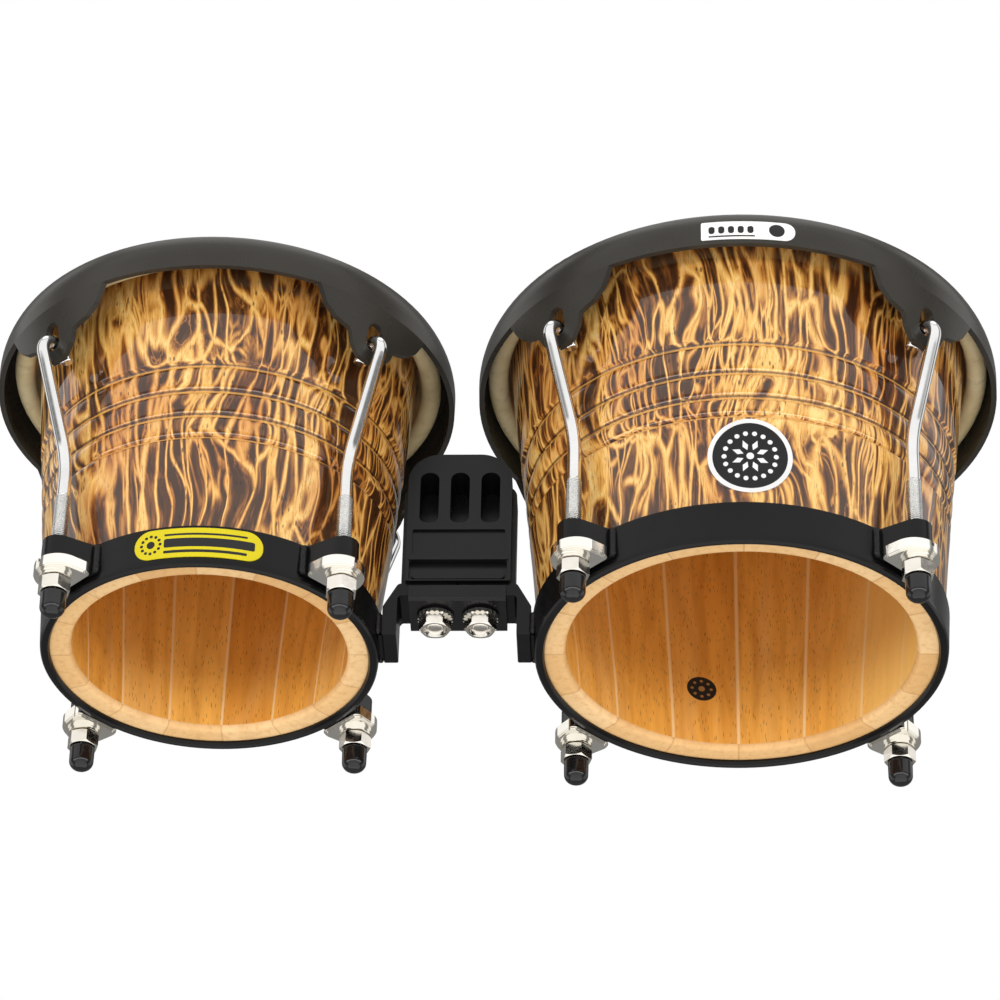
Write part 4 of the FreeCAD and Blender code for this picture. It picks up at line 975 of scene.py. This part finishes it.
def bar(x0, x1, z0, z1, r=0.6):
    r = min(r, (x1 - x0) / 2 - 0.01, (z1 - z0) / 2 - 0.01)
    out = []
    for cx, cz, a0 in ((x1 - r, z1 - r, 0), (x0 + r, z1 - r, 90), (x0 + r, z0 + r, 180), (x1 - r, z0 + r, 270)):
        for a in (0, 30, 60, 90):
            q = math.radians(a0 + a)
            out.append((cx + r * math.cos(q), cz + r * math.sin(q)))
    return out


def on_outside(d, az, radius_fn, inside=False):
    def f(t, z, h):
        R = float(radius_fn(z)) + (-h if inside else h)
        a = math.radians(az) + (t / R)
        return ((d["x"] + R * math.cos(a)) * MM, R * math.sin(a) * MM, (z + ZB) * MM)
    return f


L = DRUMS["large"]
S = DRUMS["small"]


def lin_outer(table):
    zs = [t[0] for t in table]
    rs = [t[1] for t in table]
    return lambda z: np.interp(z, zs, rs)


badge = on_outside(L, -88.1, lin_outer(L["outer"]))
dots = [circle_poly(11.6 * math.cos(math.radians(a)), 41.3 + 11.6 * math.sin(math.radians(a)), 1.15, 16) for a in range(0, 360, 20)]
rays = []
for i in range(8):
    a = math.radians(45 * i + 22.5)
    ca, sa = math.cos(a), math.sin(a)
    q = [(3.2, 0), (5.6, 1.35), (8.6, 0), (5.6, -1.35)]
    rays.append([(x * ca - y * sa, 41.3 + x * sa + y * ca) for x, y in q])
plate("large_badge_motif", badge, dots + rays + [circle_poly(0, 41.3, 1.7, 20)], 1.12, M["badge_silver"], ROOT, 0.2)


def ring_r(z):
    return S["ring"] + 0.9 / 16.7 * (z - 0.2)


lab = on_outside(S, -89.0, ring_r)
ink = [bar(-15.5, 22.0, 11.9, 12.9, 0.4), bar(-15.5, 25.5, 5.9, 10.4, 0.9), bar(-15.5, 22.0, 2.9, 4.3, 0.5)]
ring_pts = circle_poly(-21.6, 8.1, 5.2, 28)
plate("small_ring_label_print", lab, ink + [circle_poly(-21.6 + 4.4 * math.cos(math.radians(a)), 8.1 + 4.4 * math.sin(math.radians(a)), 0.75, 14) for a in range(0, 360, 30)] + [circle_poly(-21.6, 8.1, 1.9, 20)], 0.46, M["ink"], ROOT, 0.08)


def rim_r(z):
    zs = [142.8, 145.4, 148.0, 149.6, 151.2, 152.8, 154.4]
    off = [0.045, 0.122, 0.200, 0.222, 0.122, -0.100, -0.450]
    return L["rim"] + float(np.interp(z, zs, off)) + 0.38


rl = on_outside(L, -88.4, rim_r)
wave = [bar(-18.0 + 4.4 * i, -15.2 + 4.4 * i, 146.6, 150.8, 1.3) for i in range(5)]
plate("large_rim_label_print", rl, wave + [bar(-18.0, 3.0, 144.7, 145.5, 0.3), circle_poly(13.0, 148.7, 3.6, 26)], 0.06, M["ink"], "large_rim_set", 0.05)


def inner_r(d):
    rb, rt = d["outer"][0][1], d["outer"][-1][1]
    def f(z):
        g = (z - 24.0) / 135.0
        return rb - 12.3 + 1.9 + g * ((rt - 10.5) - (rb - 12.3 + 1.9)) if z > 24 else rb - 12.3 + 0.2 + 1.7 * z / 24.0
    return f


st = on_outside(L, 102.0, inner_r(L), inside=True)
plate("large_inside_stamp", st, [circle_poly(0, 34.4, 7.2, 36)], 0.06, M["ink"], ROOT, 0.05)
plate("large_inside_stamp_print", st, [circle_poly(4.6 * math.cos(math.radians(a)), 34.4 + 4.6 * math.sin(math.radians(a)), 0.8, 12) for a in range(0, 360, 45)] + [circle_poly(0, 34.4, 1.6, 16)], 0.09, film("stamp_tan", (0.34, 0.17, 0.05), 0.4), ROOT, 0.05)


# ------------------------------------------------------------------ stage, light and camera
def build_stage():
    half = 2.2
    me = bpy.data.meshes.new("floor")
    me.from_pydata([(-half, -half, 0), (half, -half, 0), (half, half, 0), (-half, half, 0)], [], [(0, 1, 2, 3)])
    o = bpy.data.objects.new("floor", me)
    bpy.context.scene.collection.objects.link(o)
    o.location = (0, 0, -0.0005)
    m = bpy.data.materials.new("floor_pale")
    m.use_nodes = True
    t = m.node_tree
    t.nodes.clear()
    out = t.nodes.new("ShaderNodeOutputMaterial")
    mix = t.nodes.new("ShaderNodeMixShader")
    geo = t.nodes.new("ShaderNodeNewGeometry")
    dif = t.nodes.new("ShaderNodeBsdfDiffuse")
    dif.inputs[0].default_value = (0.86, 0.86, 0.86, 1)
    tra = t.nodes.new("ShaderNodeBsdfTransparent")
    t.links.new(geo.outputs["Backfacing"], mix.inputs[0])
    t.links.new(dif.outputs[0], mix.inputs[1])
    t.links.new(tra.outputs[0], mix.inputs[2])
    t.links.new(mix.outputs[0], out.inputs[0])
    me.materials.append(m)
    o.visible_diffuse = False
    o.visible_glossy = False
    o.visible_transmission = False
    o.visible_shadow = False
    o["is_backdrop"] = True


def build_world():
    w = bpy.data.worlds.new("studio")
    bpy.context.scene.world = w
    w.use_nodes = True
    t = w.node_tree
    t.nodes.clear()

    def n(kind, **kw):
        nd = t.nodes.new(kind)
        for k, v in kw.items():
            setattr(nd, k, v)
        return nd

    def m(op, a, b=None, clamp=False):
        nd = n("ShaderNodeMath", operation=op)
        nd.use_clamp = clamp
        for i, v in enumerate((a, b)):
            if v is None:
                continue
            if isinstance(v, (int, float)):
                nd.inputs[i].default_value = v
            else:
                t.links.new(v, nd.inputs[i])
        return nd.outputs[0]

    def window(x, lo, hi, soft):
        nd = n("ShaderNodeMapRange", interpolation_type="SMOOTHSTEP")
        t.links.new(x, nd.inputs["Value"])
        nd.inputs["From Min"].default_value = lo - soft
        nd.inputs["From Max"].default_value = lo + soft
        nd2 = n("ShaderNodeMapRange", interpolation_type="SMOOTHSTEP")
        t.links.new(x, nd2.inputs["Value"])
        nd2.inputs["From Min"].default_value = hi - soft
        nd2.inputs["From Max"].default_value = hi + soft
        nd2.inputs["To Min"].default_value = 1.0
        nd2.inputs["To Max"].default_value = 0.0
        return m("MULTIPLY", nd.outputs[0], nd2.outputs[0])

    tc = n("ShaderNodeTexCoord")
    sep = n("ShaderNodeSeparateXYZ")
    t.links.new(tc.outputs["Generated"], sep.inputs[0])
    x, y, z = sep.outputs
    az = m("MULTIPLY", m("ARCTAN2", x, m("MULTIPLY", y, -1.0)), 180 / math.pi)
    side = m("ABSOLUTE", az)
    el = m("MULTIPLY", m("ARCSINE", z), 180 / math.pi)
    level = m("ADD", 0.26, 0.0)
    for value, azw, elw, soft in (
        (0.98, (-1, 74), (7, 62), 3.0),         # wide front box, above the horizon
        (0.85, (98, 128), (-35, 60), 3.0),      # side boxes
        (0.95, (-1, 70), (-46, -20), 4.0),      # lower front box
        (4.60, (-1, 72), (-17, -6), 2.0),       # bright strip just below the horizon
        (1.25, (-1, 181), (-91, -46), 6.0),     # from underneath
        (1.30, (-1, 181), (66, 91), 6.0),       # overhead
    ):
        lo, hi = azw
        a = window(side, lo if lo > 0 else -20, hi if hi < 180 else 200, soft)
        b = window(el, elw[0], elw[1], soft)
        level = m("ADD", level, m("MULTIPLY", m("MULTIPLY", a, b), value))
    light = n("ShaderNodeBackground")
    comb = n("ShaderNodeCombineColor")
    for i, tint in enumerate((1.0, 0.99, 0.975)):
        t.links.new(m("MULTIPLY", level, tint), comb.inputs[i])
    t.links.new(comb.outputs[0], light.inputs[0])
    light.inputs[1].default_value = 0.95
    paper = n("ShaderNodeBackground")
    paper.inputs[0].default_value = (1, 1, 1, 1)
    paper.inputs[1].default_value = 1.0
    lp = n("ShaderNodeLightPath")
    mix = n("ShaderNodeMixShader")
    t.links.new(lp.outputs["Is Camera Ray"], mix.inputs[0])
    t.links.new(light.outputs[0], mix.inputs[1])
    t.links.new(paper.outputs[0], mix.inputs[2])
    out = n("ShaderNodeOutputWorld")
    t.links.new(mix.outputs[0], out.inputs[0])


def build_camera():
    k = 0.944
    e, az, ro = math.radians(35.74), math.radians(2.653), math.radians(1.394)
    d = Vector((-math.sin(az) * math.cos(e), math.cos(az) * math.cos(e), math.sin(e)))
    r = Vector((math.cos(az), math.sin(az), 0))
    u = r.cross(d)
    r2 = math.cos(ro) * r + math.sin(ro) * u
    u2 = -math.sin(ro) * r + math.cos(ro) * u
    target = Vector((-0.186 * k + 2.97, 0, 92.107 * k + ZB)) * MM
    pos = target - d * (2106.118 * k * MM)
    cam = bpy.data.cameras.new("camera")
    cam.sensor_width = 36.0
    cam.lens = 4247.152 / 1000.0 * 36.0
    cam.clip_end = 50
    o = bpy.data.objects.new("camera", cam)
    bpy.context.scene.collection.objects.link(o)
    o.matrix_world = Matrix(((r2.x, u2.x, -d.x, pos.x), (r2.y, u2.y, -d.y, pos.y), (r2.z, u2.z, -d.z, pos.z), (0, 0, 0, 1)))
    bpy.context.scene.camera = o


build_stage()
build_world()
build_camera()
bpy.context.scene.view_settings.view_transform = "Standard"
bpy.context.scene.view_settings.look = "None"

bpy.context.view_layer.update()
{"cad": CAD_BOX, "visual": flat_box(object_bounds())}
